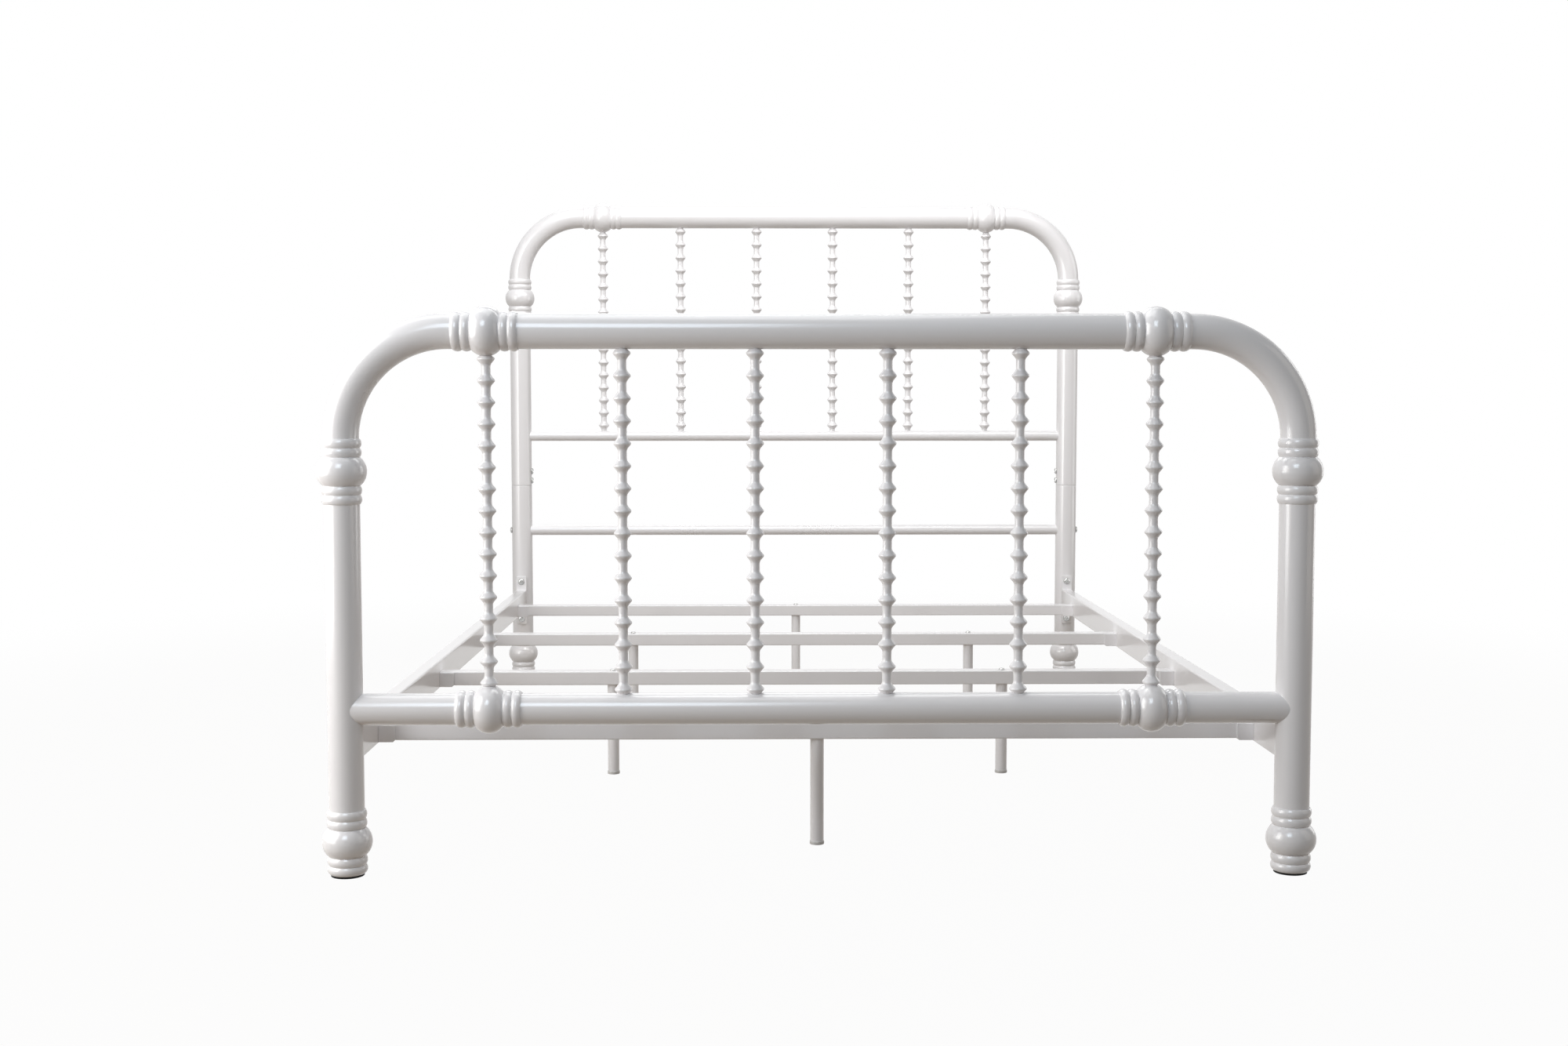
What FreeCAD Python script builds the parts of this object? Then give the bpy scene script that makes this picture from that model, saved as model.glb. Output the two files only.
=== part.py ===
import FreeCAD, Part

import math
import os

Vector = FreeCAD.Vector

# Spindle bed in white coated steel tube: a footboard and a headboard, each a hoop of tube filled
# with six beaded spindles, joined by two side rails that carry four slats on short legs.
# X runs across the bed, Y from the foot to the head and Z up from the floor. All sizes in mm.

# ---------------------------------------------------------------- layout of the frame
POST_SPACING = 1372.0          # across the bed, between the axes of two posts
BED_LENGTH = 1960.0            # between the footboard's plane and the headboard's plane
FOOTBOARD_HEIGHT = 785.0       # floor to the axis of the footboard's top rail
HEADBOARD_HEIGHT = 1141.0      # floor to the axis of the headboard's top rail
FOOT_PANEL_DROP = 542.5        # footboard: top rail axis down to the cross rail axis
HEAD_PANEL_DROP = 542.5        # headboard: top rail axis down to the upper cross rail axis
HEAD_LOWER_RAIL_HEIGHT = 361.5
HEAD_SEAM_HEIGHT = 474.0       # where the headboard's upper half meets its legs
POST_COLLAR_DROP = 199.5       # top rail axis down to the middle of a post's collar

# ---------------------------------------------------------------- tubes
FRAME_TUBE_D = 50.8
FRAME_TUBE_WALL = 1.5
BEND_RADIUS = 153.0            # on the tube's centre line
FOOT_CROSS_RAIL_D = 45.7
FOOT_CROSS_RAIL_WALL = 1.5
HEAD_CROSS_RAIL_D = 25.4
HEAD_CROSS_RAIL_WALL = 1.2
WELD_GAP = 0.1                 # left between a coped end and the surface it is welded to
SLIDE_GAP = 0.1                # on the radius, where one round part slides into another

# ---------------------------------------------------------------- turned collars: two rings, ball, two rings
BALL_D = 72.0
BALL_LENGTH = 41.0             # along the tube, between the inner rings
RING_D = 57.4
RING_WIDTH = 13.1
GROOVE_D = 52.8                # where two mouldings meet
LOW_BALL_D = 70.0              # the collars on the footboard's cross rail are a little slimmer
LOW_RING_D = 54.6
LOW_GROOVE_D = 48.8
TOE_D = 49.0                   # a post's lowest ring is rolled in to this at its lower edge
FOOT_LIP = 3.0                 # under the end of the post's tube
FERRULE_LENGTH = 70.0          # sleeve hidden inside a collar, where two tubes butt
FERRULE_WALL = 2.0

# ---------------------------------------------------------------- spindles
SPINDLE_OUTER_X = 478.5        # the end spindles and the collars over them, from the centre line
SPINDLE_INNER_PITCH = 190.0    # between the four inner spindles
INNER_SPINDLES = 4
BEAD_COUNT = 16
BEAD_D = 25.5
BEAD_TIP_RADIUS = 2.8
BEAD_FLANK_ANGLE = 40.0        # degrees between a bead's flank and the spindle's axis
BEAD_FILLET = 8.0              # hollow curve between flank and neck
NECK_D = 13.2
SPINDLE_BORE_D = 10.0
FOOT_BEAD_INSET_INNER = 5.5    # end bead's middle to the rail's surface
FOOT_BEAD_INSET_OUTER = 3.0    # end bead's middle to the ball's surface
HEAD_BEAD_INSET_TOP = 9.0
HEAD_BEAD_INSET_BOTTOM = 13.4

# ---------------------------------------------------------------- feet of the posts
GLIDE_D = 48.0
GLIDE_HEIGHT = 3.0
GLIDE_EDGE = 1.0               # rounding of its lower edge
GLIDE_STEM_D = 30.0
GLIDE_STEM_LENGTH = 18.0

# ---------------------------------------------------------------- side rails and their end plates
RAIL_WIDTH = 25.0
RAIL_HEIGHT = 50.0
RAIL_WALL = 1.5
RAIL_CORNER = 3.0
RAIL_TOP = 211.5               # floor to the rail's top face
PLATE_WIDTH = 26.0
PLATE_HEIGHT = 120.0
PLATE_THICKNESS = 3.0
PLATE_CORNER = 2.0
PLATE_BOLT_SPACING = 93.5

# ---------------------------------------------------------------- slats, holders and support legs
SLAT_COUNT = 4
SLAT_END_INSET = 149.1         # end slat's middle from the end of the side rails
SLAT_WIDTH = 30.0
SLAT_HEIGHT = 25.0
SLAT_WALL = 1.2
SLAT_CORNER = 2.0
SLAT_DROP = 20.0               # rail's top face down to the slat's top face
SLAT_END_GAP = 0.3
HOLDER_LENGTH = 26.0           # along the slat, from the rail's inner face
HOLDER_WALL = 2.5
HOLDER_LIP = 1.5               # slat's top face down to the top of the holder's cheeks
HOLDER_CHAMFER = 3.5           # cut off the cheeks' free lower corners
HOLDER_SIDE_GAP = 0.2
LEG_D = 21.0
LEG_WALL = 1.2
LEG_OFFSET = 358.0             # of the paired legs, from the centre line
CAP_D = 22.6
CAP_HEIGHT = 5.0
CAP_FLOOR = 1.6                # thickness of the cap under the leg's end
CAP_STEM_LENGTH = 14.0

# ---------------------------------------------------------------- fasteners
BOLT_D = 8.0                   # bolts that hold the frame together
BOLT_HEAD_D = 16.0
BOLT_HEAD_HEIGHT = 4.2
BOLT_CROWN_D = 8.0             # flat on top of the domed head
BOLT_SOCKET = 5.0              # across the flats of the key's socket
LEG_BOLT_D = 6.0               # bolts that hold the support legs under the slats
LEG_BOLT_HEAD_D = 11.0
LEG_BOLT_HEAD_HEIGHT = 3.0
LEG_BOLT_CROWN_D = 6.0
LEG_BOLT_SOCKET = 4.0
FLANGE_THICKNESS = 1.0         # straight rim of a bolt's head
DOME_RISE = 0.15               # of a head's dome, for each mm between rim and crown
SOCKET_DEPTH = 1.9
HOLE_GAP = 0.3                 # on the radius, around a bolt's shank
THREAD_GAP = 0.02              # on the radius, between a shank and its thread
INSERT_D = 12.0                # threaded insert in a post
INSERT_LENGTH = 15.0
BOLT_PAST_WALL = 12.0          # shank beyond the wall or plate that it holds
SLEEVE_LENGTH = 140.0          # inside the headboard's post, across the seam
SLEEVE_WALL = 2.5
SEAM_BOLT_FIRST = 12.5         # above the seam
SEAM_BOLT_PITCH = 23.3
CROSS_PLUG_LENGTH = 30.0       # threaded plug in each end of the headboard's lower rail
LEG_PLUG_LENGTH = 20.0         # threaded plug in the top of each support leg

# ---------------------------------------------------------------- derived places
POST_X = POST_SPACING / 2
FOOT_Y = -BED_LENGTH / 2
HEAD_Y = BED_LENGTH / 2
TUBE_R = FRAME_TUBE_D / 2
TUBE_BORE_D = FRAME_TUBE_D - 2 * FRAME_TUBE_WALL
FOOT_CROSS_Z = FOOTBOARD_HEIGHT - FOOT_PANEL_DROP
HEAD_CROSS_Z = HEADBOARD_HEIGHT - HEAD_PANEL_DROP
COLLAR_LENGTH = BALL_LENGTH + 4 * RING_WIDTH
FOOT_COLLAR_Z = GLIDE_HEIGHT + COLLAR_LENGTH / 2
TUBE_END_Z = GLIDE_HEIGHT + FOOT_LIP + WELD_GAP
COLLAR = (BALL_D, RING_D, GROOVE_D)
LOW_COLLAR = (LOW_BALL_D, LOW_RING_D, LOW_GROOVE_D)
PLATE_FACE_Y = HEAD_Y - TUBE_R             # where an end plate lies against a post
RAIL_END_Y = PLATE_FACE_Y - PLATE_THICKNESS
RAIL_AXIS_Z = RAIL_TOP - RAIL_HEIGHT / 2
RAIL_INNER_X = POST_X - RAIL_WIDTH / 2
SLAT_TOP = RAIL_TOP - SLAT_DROP
SLAT_BOTTOM = SLAT_TOP - SLAT_HEIGHT
PLATE_BOLT_Z = (RAIL_AXIS_Z - PLATE_BOLT_SPACING / 2, RAIL_AXIS_Z + PLATE_BOLT_SPACING / 2)
SEAM_BOLT_LOW_Z = HEAD_SEAM_HEIGHT + SEAM_BOLT_FIRST
SEAM_BOLT_Z = (SEAM_BOLT_LOW_Z, SEAM_BOLT_LOW_Z + SEAM_BOLT_PITCH)
LEG_BORE_D = LEG_D - 2 * LEG_WALL

X_AXIS = Vector(1, 0, 0)
Y_AXIS = Vector(0, 1, 0)
Z_AXIS = Vector(0, 0, 1)
SIDES = (("left", -1), ("right", 1))
ENDS = ((FOOT_Y, 1), (HEAD_Y, -1))         # each end's plane and the way from it into the bed


# ---------------------------------------------------------------- general shapes
def rod(start, direction, length, diameter):
    """Solid cylinder from a point along a direction."""
    return Part.makeCylinder(diameter / 2, length, start, direction)


def tube(start, direction, length, diameter, wall):
    """Round tube from a point along a direction."""
    return rod(start, direction, length, diameter).cut(rod(start, direction, length, diameter - 2 * wall))


def line(start, end):
    """Straight edge."""
    return Part.LineSegment(start, end).toShape()


def arc(start, middle, end):
    """Edge through three points."""
    return Part.Arc(start, middle, end).toShape()


def turned(edges):
    """Solid turned around Z from a closed outline in the XZ plane."""
    return Part.Face(Part.Wire(edges)).revolve(Vector(0, 0, 0), Z_AXIS, 360)


def placed(shape, position, direction=Z_AXIS):
    """Copy of a shape made along Z, moved to a position and turned to a direction."""
    copy = shape.copy()
    copy.Placement = FreeCAD.Placement(position, FreeCAD.Rotation(Z_AXIS, direction))
    return copy


def rounded_bar(width, height, length, corner):
    """Bar along Y with rounded long edges, its section centred on the Y axis."""
    bar = Part.makeBox(width, length, height, Vector(-width / 2, -length / 2, -height / 2))
    long_edges = [edge for edge in bar.Edges if abs(edge.tangentAt(edge.FirstParameter).y) > 0.99]
    return bar.makeFillet(corner, long_edges)


def box_tube(width, height, length, corner, wall):
    """Rectangular tube along Y, its section centred on the Y axis."""
    inner_corner = max(corner - wall, 0.3)
    inside = rounded_bar(width - 2 * wall, height - 2 * wall, length, inner_corner)
    return rounded_bar(width, height, length, corner).cut(inside)


# ---------------------------------------------------------------- turned collars
def collar_body(sizes, low_end_d, gap=0.0):
    """Ring, ring, ball, ring, ring around Z without a bore, grown by a gap on the radius."""
    ball_d, ring_d, groove_d = sizes
    half_ball = BALL_LENGTH / 2
    half = COLLAR_LENGTH / 2
    stations = (-half, -half + RING_WIDTH, -half_ball, half_ball, half - RING_WIDTH, half)
    crests = (ring_d, ring_d, ball_d, ring_d, ring_d)
    radii = [low_end_d / 2 + gap] + [groove_d / 2 + gap] * len(crests)
    marks = [Vector(radius, 0, station) for radius, station in zip(radii, stations)]
    edges = [line(Vector(0, 0, -half), marks[0])]
    for low, high, crest in zip(marks, marks[1:], crests):
        peak = Vector(crest / 2 + gap, 0, (low.z + high.z) / 2)
        edges.append(arc(low, peak, high))
    edges.append(line(marks[-1], Vector(0, 0, half)))
    edges.append(line(Vector(0, 0, half), Vector(0, 0, -half)))
    return turned(edges)


def collar(sizes, tube_diameter, position, direction):
    """Collar that slides over a tube."""
    bore = rod(Vector(0, 0, -COLLAR_LENGTH), Z_AXIS, 2 * COLLAR_LENGTH, tube_diameter + 2 * SLIDE_GAP)
    return placed(collar_body(sizes, sizes[2]).cut(bore), position, direction)


def foot_collar(position):
    """Collar at the foot of a post: rolled in at its lower edge, with a lip under the tube's end."""
    lip_top = FOOT_LIP - COLLAR_LENGTH / 2
    bore = rod(Vector(0, 0, lip_top), Z_AXIS, COLLAR_LENGTH, FRAME_TUBE_D + 2 * SLIDE_GAP)
    stem_hole = rod(Vector(0, 0, -COLLAR_LENGTH), Z_AXIS, 2 * COLLAR_LENGTH, GLIDE_STEM_D + 2 * SLIDE_GAP)
    return placed(collar_body(COLLAR, TOE_D).cut(bore).cut(stem_hole), position)


# ---------------------------------------------------------------- spindles
def bead_stations():
    """Half outline of a bead as (distance from its middle, radius) pairs, from crest to neck."""
    angle = math.radians(BEAD_FLANK_ANGLE)
    tip_end = BEAD_TIP_RADIUS * math.sin(angle)
    tip_end_r = BEAD_D / 2 - BEAD_TIP_RADIUS * (1 - math.cos(angle))
    fillet_start_r = NECK_D / 2 + BEAD_FILLET * (1 - math.cos(angle))
    fillet_start = tip_end + (tip_end_r - fillet_start_r) / math.tan(angle)
    fillet_end = fillet_start + BEAD_FILLET * math.sin(angle)
    fillet_middle = fillet_end - BEAD_FILLET * math.sin(angle / 2)
    fillet_middle_r = NECK_D / 2 + BEAD_FILLET * (1 - math.cos(angle / 2))
    return {"tip": (tip_end, tip_end_r), "flank": (fillet_start, fillet_start_r),
            "hollow": (fillet_middle, fillet_middle_r), "neck": (fillet_end, NECK_D / 2)}


def spindle_body(x, y, low, high, first_bead, last_bead):
    """Turned spindle with its beads, from one height to another, before its ends are coped."""
    marks = bead_stations()
    pitch = (last_bead - first_bead) / (BEAD_COUNT - 1)

    def at(name, middle, way):
        distance, radius = marks[name]
        return Vector(radius, 0, middle + way * distance)

    edges = [line(Vector(0, 0, low), Vector(NECK_D / 2, 0, low))]
    previous = Vector(NECK_D / 2, 0, low)
    for index in range(BEAD_COUNT):
        middle = first_bead + index * pitch
        crest = Vector(BEAD_D / 2, 0, middle)
        edges.append(line(previous, at("neck", middle, -1)))
        edges.append(arc(at("neck", middle, -1), at("hollow", middle, -1), at("flank", middle, -1)))
        edges.append(line(at("flank", middle, -1), at("tip", middle, -1)))
        edges.append(arc(at("tip", middle, -1), crest, at("tip", middle, 1)))
        edges.append(line(at("tip", middle, 1), at("flank", middle, 1)))
        edges.append(arc(at("flank", middle, 1), at("hollow", middle, 1), at("neck", middle, 1)))
        previous = at("neck", middle, 1)
    top = Vector(NECK_D / 2, 0, high)
    edges.append(line(previous, top))
    edges.append(line(top, Vector(0, 0, high)))
    edges.append(line(Vector(0, 0, high), Vector(0, 0, low)))
    bore = rod(Vector(0, 0, low), Z_AXIS, high - low, SPINDLE_BORE_D)
    return placed(turned(edges).cut(bore), Vector(x, y, 0))


def cross_cutter(y, z, diameter):
    """Solid that fills a rail which runs across the bed, with the weld gap around it."""
    return rod(Vector(-POST_X, y, z), X_AXIS, POST_SPACING, diameter + 2 * WELD_GAP)


def collar_cutter(sizes, x, y, z):
    """Solid that fills a collar which lies across the bed, with the weld gap around it."""
    return placed(collar_body(sizes, sizes[2], WELD_GAP), Vector(x, y, z), X_AXIS)


def spindle_places():
    """Each spindle's X from left to right, and whether it stands between collars."""
    first = -SPINDLE_INNER_PITCH * (INNER_SPINDLES - 1) / 2
    inner = [(first + SPINDLE_INNER_PITCH * index, False) for index in range(INNER_SPINDLES)]
    return [(-SPINDLE_OUTER_X, True)] + inner + [(SPINDLE_OUTER_X, True)]


def footboard_spindles():
    """Spindles of the footboard: the end ones run from ball to ball, the others from rail to rail."""
    nodes = {}
    for number, (x, between_balls) in enumerate(spindle_places(), start=1):
        top_reach, low_reach, inset = TUBE_R, FOOT_CROSS_RAIL_D / 2, FOOT_BEAD_INSET_INNER
        if between_balls:
            top_reach, low_reach, inset = BALL_D / 2, LOW_BALL_D / 2, FOOT_BEAD_INSET_OUTER
        first_bead = FOOT_CROSS_Z + low_reach + inset
        last_bead = FOOTBOARD_HEIGHT - top_reach - inset
        body = spindle_body(x, FOOT_Y, FOOT_CROSS_Z, FOOTBOARD_HEIGHT, first_bead, last_bead)
        if between_balls:
            for sizes, z in ((LOW_COLLAR, FOOT_CROSS_Z), (COLLAR, FOOTBOARD_HEIGHT)):
                body = body.cut(collar_cutter(sizes, x, FOOT_Y, z))
        else:
            body = body.cut(cross_cutter(FOOT_Y, FOOT_CROSS_Z, FOOT_CROSS_RAIL_D))
            body = body.cut(cross_cutter(FOOT_Y, FOOTBOARD_HEIGHT, FRAME_TUBE_D))
        nodes["footboard_spindle_%d" % number] = body
    return nodes


def headboard_spindles():
    """Spindles of the headboard: the end ones hang from the balls and all stand on the cross rail."""
    nodes = {}
    for number, (x, under_ball) in enumerate(spindle_places(), start=1):
        top_reach = BALL_D / 2 if under_ball else TUBE_R
        first_bead = HEAD_CROSS_Z + HEAD_CROSS_RAIL_D / 2 + HEAD_BEAD_INSET_BOTTOM
        last_bead = HEADBOARD_HEIGHT - top_reach - HEAD_BEAD_INSET_TOP
        body = spindle_body(x, HEAD_Y, HEAD_CROSS_Z, HEADBOARD_HEIGHT, first_bead, last_bead)
        body = body.cut(cross_cutter(HEAD_Y, HEAD_CROSS_Z, HEAD_CROSS_RAIL_D))
        if under_ball:
            body = body.cut(collar_cutter(COLLAR, x, HEAD_Y, HEADBOARD_HEIGHT))
        else:
            body = body.cut(cross_cutter(HEAD_Y, HEADBOARD_HEIGHT, FRAME_TUBE_D))
        nodes["headboard_spindle_%d" % number] = body
    return nodes


# ---------------------------------------------------------------- tubes of the two boards
def corner_tube(side, y, top_z, bottom_z):
    """Tube from the joint in the top rail, round the corner and down the post's axis."""
    start = Vector(side * SPINDLE_OUTER_X, y, top_z)
    centre = Vector(side * (POST_X - BEND_RADIUS), y, top_z - BEND_RADIUS)
    bend_start = centre + Vector(0, 0, BEND_RADIUS)
    half_way = BEND_RADIUS * math.sqrt(0.5)
    bend_middle = centre + Vector(side * half_way, 0, half_way)
    bend_end = centre + Vector(side * BEND_RADIUS, 0, 0)
    end = Vector(side * POST_X, y, bottom_z)
    path = Part.Wire([line(start, bend_start), arc(bend_start, bend_middle, bend_end), line(bend_end, end)])

    def swept(diameter):
        section = Part.Wire([Part.makeCircle(diameter / 2, start, Vector(side, 0, 0))])
        return path.makePipeShell([section], True, False)

    return swept(FRAME_TUBE_D).cut(swept(TUBE_BORE_D))


def top_rail(y, z):
    """Straight tube between the joints that the two top collars cover."""
    return tube(Vector(-SPINDLE_OUTER_X, y, z), X_AXIS, 2 * SPINDLE_OUTER_X, FRAME_TUBE_D, FRAME_TUBE_WALL)


def cross_rail(y, z, diameter, wall):
    """Tube between the posts, coped to their surface."""
    body = tube(Vector(-POST_X, y, z), X_AXIS, POST_SPACING, diameter, wall)
    for side in (-1, 1):
        foot = Vector(side * POST_X, y, z - diameter)
        body = body.cut(rod(foot, Z_AXIS, 2 * diameter, FRAME_TUBE_D + 2 * WELD_GAP))
    return body


def insert_holes(x, y, inward):
    """Holes in a post for the threaded inserts that take the side rail's bolts."""
    return [rod(Vector(x, y, z), Vector(0, inward, 0), FRAME_TUBE_D, INSERT_D + 2 * SLIDE_GAP)
            for z in PLATE_BOLT_Z]


def leg_tube(side, y, inward, top_z):
    """Straight lower part of a post, from its foot's lip up to a joint."""
    x = side * POST_X
    body = tube(Vector(x, y, TUBE_END_Z), Z_AXIS, top_z - TUBE_END_Z, FRAME_TUBE_D, FRAME_TUBE_WALL)
    for hole in insert_holes(x, y, inward):
        body = body.cut(hole)
    return body


def seam_bolt_holes(side):
    """Holes for the bolts above the headboard's seam, through the inner side of the post."""
    return [rod(Vector(side * POST_X, HEAD_Y, z), Vector(-side, 0, 0), FRAME_TUBE_D, BOLT_D + 2 * HOLE_GAP)
            for z in SEAM_BOLT_Z]


def lower_rail_bolt_hole(side):
    """Hole for the bolt that goes through a headboard leg into the lower cross rail."""
    across = Vector(side * (POST_X - FRAME_TUBE_D), HEAD_Y, HEAD_LOWER_RAIL_HEIGHT)
    return rod(across, Vector(side, 0, 0), 2 * FRAME_TUBE_D, BOLT_D + 2 * HOLE_GAP)


def footboard_tubes():
    """Top rail, corners, legs and cross rail of the footboard."""
    joint_z = FOOTBOARD_HEIGHT - POST_COLLAR_DROP
    nodes = {"footboard_top_rail": top_rail(FOOT_Y, FOOTBOARD_HEIGHT),
             "footboard_cross_rail": cross_rail(FOOT_Y, FOOT_CROSS_Z, FOOT_CROSS_RAIL_D,
                                                FOOT_CROSS_RAIL_WALL)}
    for name, side in SIDES:
        nodes["footboard_bend_" + name] = corner_tube(side, FOOT_Y, FOOTBOARD_HEIGHT, joint_z)
        nodes["footboard_leg_" + name] = leg_tube(side, FOOT_Y, 1, joint_z)
    return nodes


def headboard_tubes():
    """Top rail, side tubes, legs and the two cross rails of the headboard."""
    nodes = {"headboard_top_rail": top_rail(HEAD_Y, HEADBOARD_HEIGHT),
             "headboard_upper_cross_rail": cross_rail(HEAD_Y, HEAD_CROSS_Z, HEAD_CROSS_RAIL_D,
                                                      HEAD_CROSS_RAIL_WALL),
             "headboard_lower_cross_rail": cross_rail(HEAD_Y, HEAD_LOWER_RAIL_HEIGHT, HEAD_CROSS_RAIL_D,
                                                      HEAD_CROSS_RAIL_WALL)}
    for name, side in SIDES:
        upper = corner_tube(side, HEAD_Y, HEADBOARD_HEIGHT, HEAD_SEAM_HEIGHT)
        for hole in seam_bolt_holes(side):
            upper = upper.cut(hole)
        leg = leg_tube(side, HEAD_Y, -1, HEAD_SEAM_HEIGHT)
        nodes["headboard_side_tube_" + name] = upper
        nodes["headboard_leg_" + name] = leg.cut(lower_rail_bolt_hole(side))
    return nodes


def collars():
    """All turned collars: on the top rails, the posts, the feet and the footboard's cross rail."""
    nodes = {}
    boards = (("footboard", FOOT_Y, FOOTBOARD_HEIGHT), ("headboard", HEAD_Y, HEADBOARD_HEIGHT))
    for board, y, top_z in boards:
        for name, side in SIDES:
            over_spindle = Vector(side * SPINDLE_OUTER_X, y, top_z)
            on_post = Vector(side * POST_X, y, top_z - POST_COLLAR_DROP)
            at_foot = Vector(side * POST_X, y, FOOT_COLLAR_Z)
            nodes["%s_top_collar_%s" % (board, name)] = collar(COLLAR, FRAME_TUBE_D, over_spindle, X_AXIS)
            nodes["%s_post_collar_%s" % (board, name)] = collar(COLLAR, FRAME_TUBE_D, on_post, Z_AXIS)
            nodes["%s_foot_%s" % (board, name)] = foot_collar(at_foot)
    for name, side in SIDES:
        on_rail = Vector(side * SPINDLE_OUTER_X, FOOT_Y, FOOT_CROSS_Z)
        nodes["footboard_rail_collar_" + name] = collar(LOW_COLLAR, FOOT_CROSS_RAIL_D, on_rail, X_AXIS)
    return nodes


def foot_glides():
    """Black glide under each post, with a stem through the foot's lip."""
    disc = rod(Vector(0, 0, 0), Z_AXIS, GLIDE_HEIGHT, GLIDE_D)
    disc = disc.makeFillet(GLIDE_EDGE, [edge for edge in disc.Edges if edge.BoundBox.ZMax < GLIDE_EDGE])
    stem_top = GLIDE_HEIGHT + GLIDE_STEM_LENGTH
    stem = rod(Vector(0, 0, GLIDE_EDGE), Z_AXIS, stem_top - GLIDE_EDGE, GLIDE_STEM_D)
    glide = disc.fuse(stem)
    return [placed(glide, Vector(side * POST_X, y, 0)) for y, inward in ENDS for name, side in SIDES]


def tube_joiners():
    """Sleeves inside the tubes: ferrules under the collars and longer ones across the headboard's seam."""
    outer = TUBE_BORE_D - 2 * SLIDE_GAP
    ferrule = tube(Vector(0, 0, -FERRULE_LENGTH / 2), Z_AXIS, FERRULE_LENGTH, outer, FERRULE_WALL)
    sleeve = tube(Vector(0, 0, -SLEEVE_LENGTH / 2), Z_AXIS, SLEEVE_LENGTH, outer, SLEEVE_WALL)
    solids = []
    for name, side in SIDES:
        solids.append(placed(ferrule, Vector(side * SPINDLE_OUTER_X, FOOT_Y, FOOTBOARD_HEIGHT), X_AXIS))
        solids.append(placed(ferrule, Vector(side * SPINDLE_OUTER_X, HEAD_Y, HEADBOARD_HEIGHT), X_AXIS))
        solids.append(placed(ferrule, Vector(side * POST_X, FOOT_Y, FOOTBOARD_HEIGHT - POST_COLLAR_DROP)))
        seam_sleeve = placed(sleeve, Vector(side * POST_X, HEAD_Y, HEAD_SEAM_HEIGHT))
        for z in SEAM_BOLT_Z:
            thread = rod(Vector(side * POST_X, HEAD_Y, z), Vector(-side, 0, 0), FRAME_TUBE_D,
                         BOLT_D + 2 * THREAD_GAP)
            seam_sleeve = seam_sleeve.cut(thread)
        solids.append(seam_sleeve.cut(lower_rail_bolt_hole(side)))
    return solids


# ---------------------------------------------------------------- side rails, plates, slats and holders
def side_rails():
    """The two rectangular tubes between the end plates."""
    rail = box_tube(RAIL_WIDTH, RAIL_HEIGHT, 2 * RAIL_END_Y, RAIL_CORNER, RAIL_WALL)
    return {"side_rail_" + name: placed(rail, Vector(side * POST_X, 0, RAIL_AXIS_Z))
            for name, side in SIDES}


def end_plates():
    """Upright plate at each end of each side rail, with two bolt holes."""
    plate = rounded_bar(PLATE_WIDTH, PLATE_HEIGHT, PLATE_THICKNESS, PLATE_CORNER)
    solids = []
    for y, inward in ENDS:
        middle_y = y + inward * (TUBE_R + PLATE_THICKNESS / 2)
        for name, side in SIDES:
            body = placed(plate, Vector(side * POST_X, middle_y, RAIL_AXIS_Z))
            for z in PLATE_BOLT_Z:
                body = body.cut(rod(Vector(side * POST_X, y, z), Vector(0, inward, 0), FRAME_TUBE_D,
                                    BOLT_D + 2 * HOLE_GAP))
            solids.append(body)
    return solids


def slat_places():
    """Y of each slat's middle, from the foot to the head."""
    last = RAIL_END_Y - SLAT_END_INSET
    pitch = 2 * last / (SLAT_COUNT - 1)
    return [pitch * index - last for index in range(SLAT_COUNT)]


def leg_places():
    """X and Y of each support leg: one under each end slat and two under each other slat."""
    places = []
    for index, y in enumerate(slat_places()):
        at_end = index in (0, SLAT_COUNT - 1)
        places += [(x, y, index) for x in ((0.0,) if at_end else (-LEG_OFFSET, LEG_OFFSET))]
    return places


def slats():
    """Rectangular tubes across the bed, holed for the bolts of their legs."""
    length = 2 * (RAIL_INNER_X - SLAT_END_GAP)
    body = box_tube(SLAT_WIDTH, SLAT_HEIGHT, length, SLAT_CORNER, SLAT_WALL)
    across = placed(body, Vector(0, 0, 0))
    across.rotate(Vector(0, 0, 0), Z_AXIS, 90)
    nodes = {}
    for index, y in enumerate(slat_places()):
        slat = across.copy()
        slat.translate(Vector(0, y, SLAT_TOP - SLAT_HEIGHT / 2))
        for x, leg_y, slat_index in leg_places():
            if slat_index == index:
                slat = slat.cut(rod(Vector(x, leg_y, 0), Z_AXIS, RAIL_TOP, LEG_BOLT_D + 2 * HOLE_GAP))
        nodes["slat_%d" % (index + 1)] = slat
    return nodes


def slat_holder():
    """Channel that runs along +X from a rail's inner face, open at the top."""
    inner = SLAT_WIDTH + 2 * HOLDER_SIDE_GAP
    outer = inner + 2 * HOLDER_WALL
    height = HOLDER_WALL + SLAT_HEIGHT - HOLDER_LIP
    block = Part.makeBox(HOLDER_LENGTH, outer, height, Vector(0, -outer / 2, -HOLDER_WALL))
    free_lower = [edge for edge in block.Edges
                  if all(v.X > HOLDER_LENGTH / 2 and v.Z < 0 for v in edge.Vertexes)]
    space = Part.makeBox(HOLDER_LENGTH, inner, SLAT_HEIGHT, Vector(0, -inner / 2, 0))
    return block.makeChamfer(HOLDER_CHAMFER, free_lower).cut(space)


def slat_holders():
    """Holders on the inner faces of both side rails, one under each end of each slat."""
    channel = slat_holder()
    facing_back = channel.copy()
    facing_back.rotate(Vector(0, 0, 0), Z_AXIS, 180)
    solids = []
    for y in slat_places():
        for shape, x in ((channel, -RAIL_INNER_X), (facing_back, RAIL_INNER_X)):
            holder = shape.copy()
            holder.translate(Vector(x, y, SLAT_BOTTOM))
            solids.append(holder)
    return solids


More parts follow.
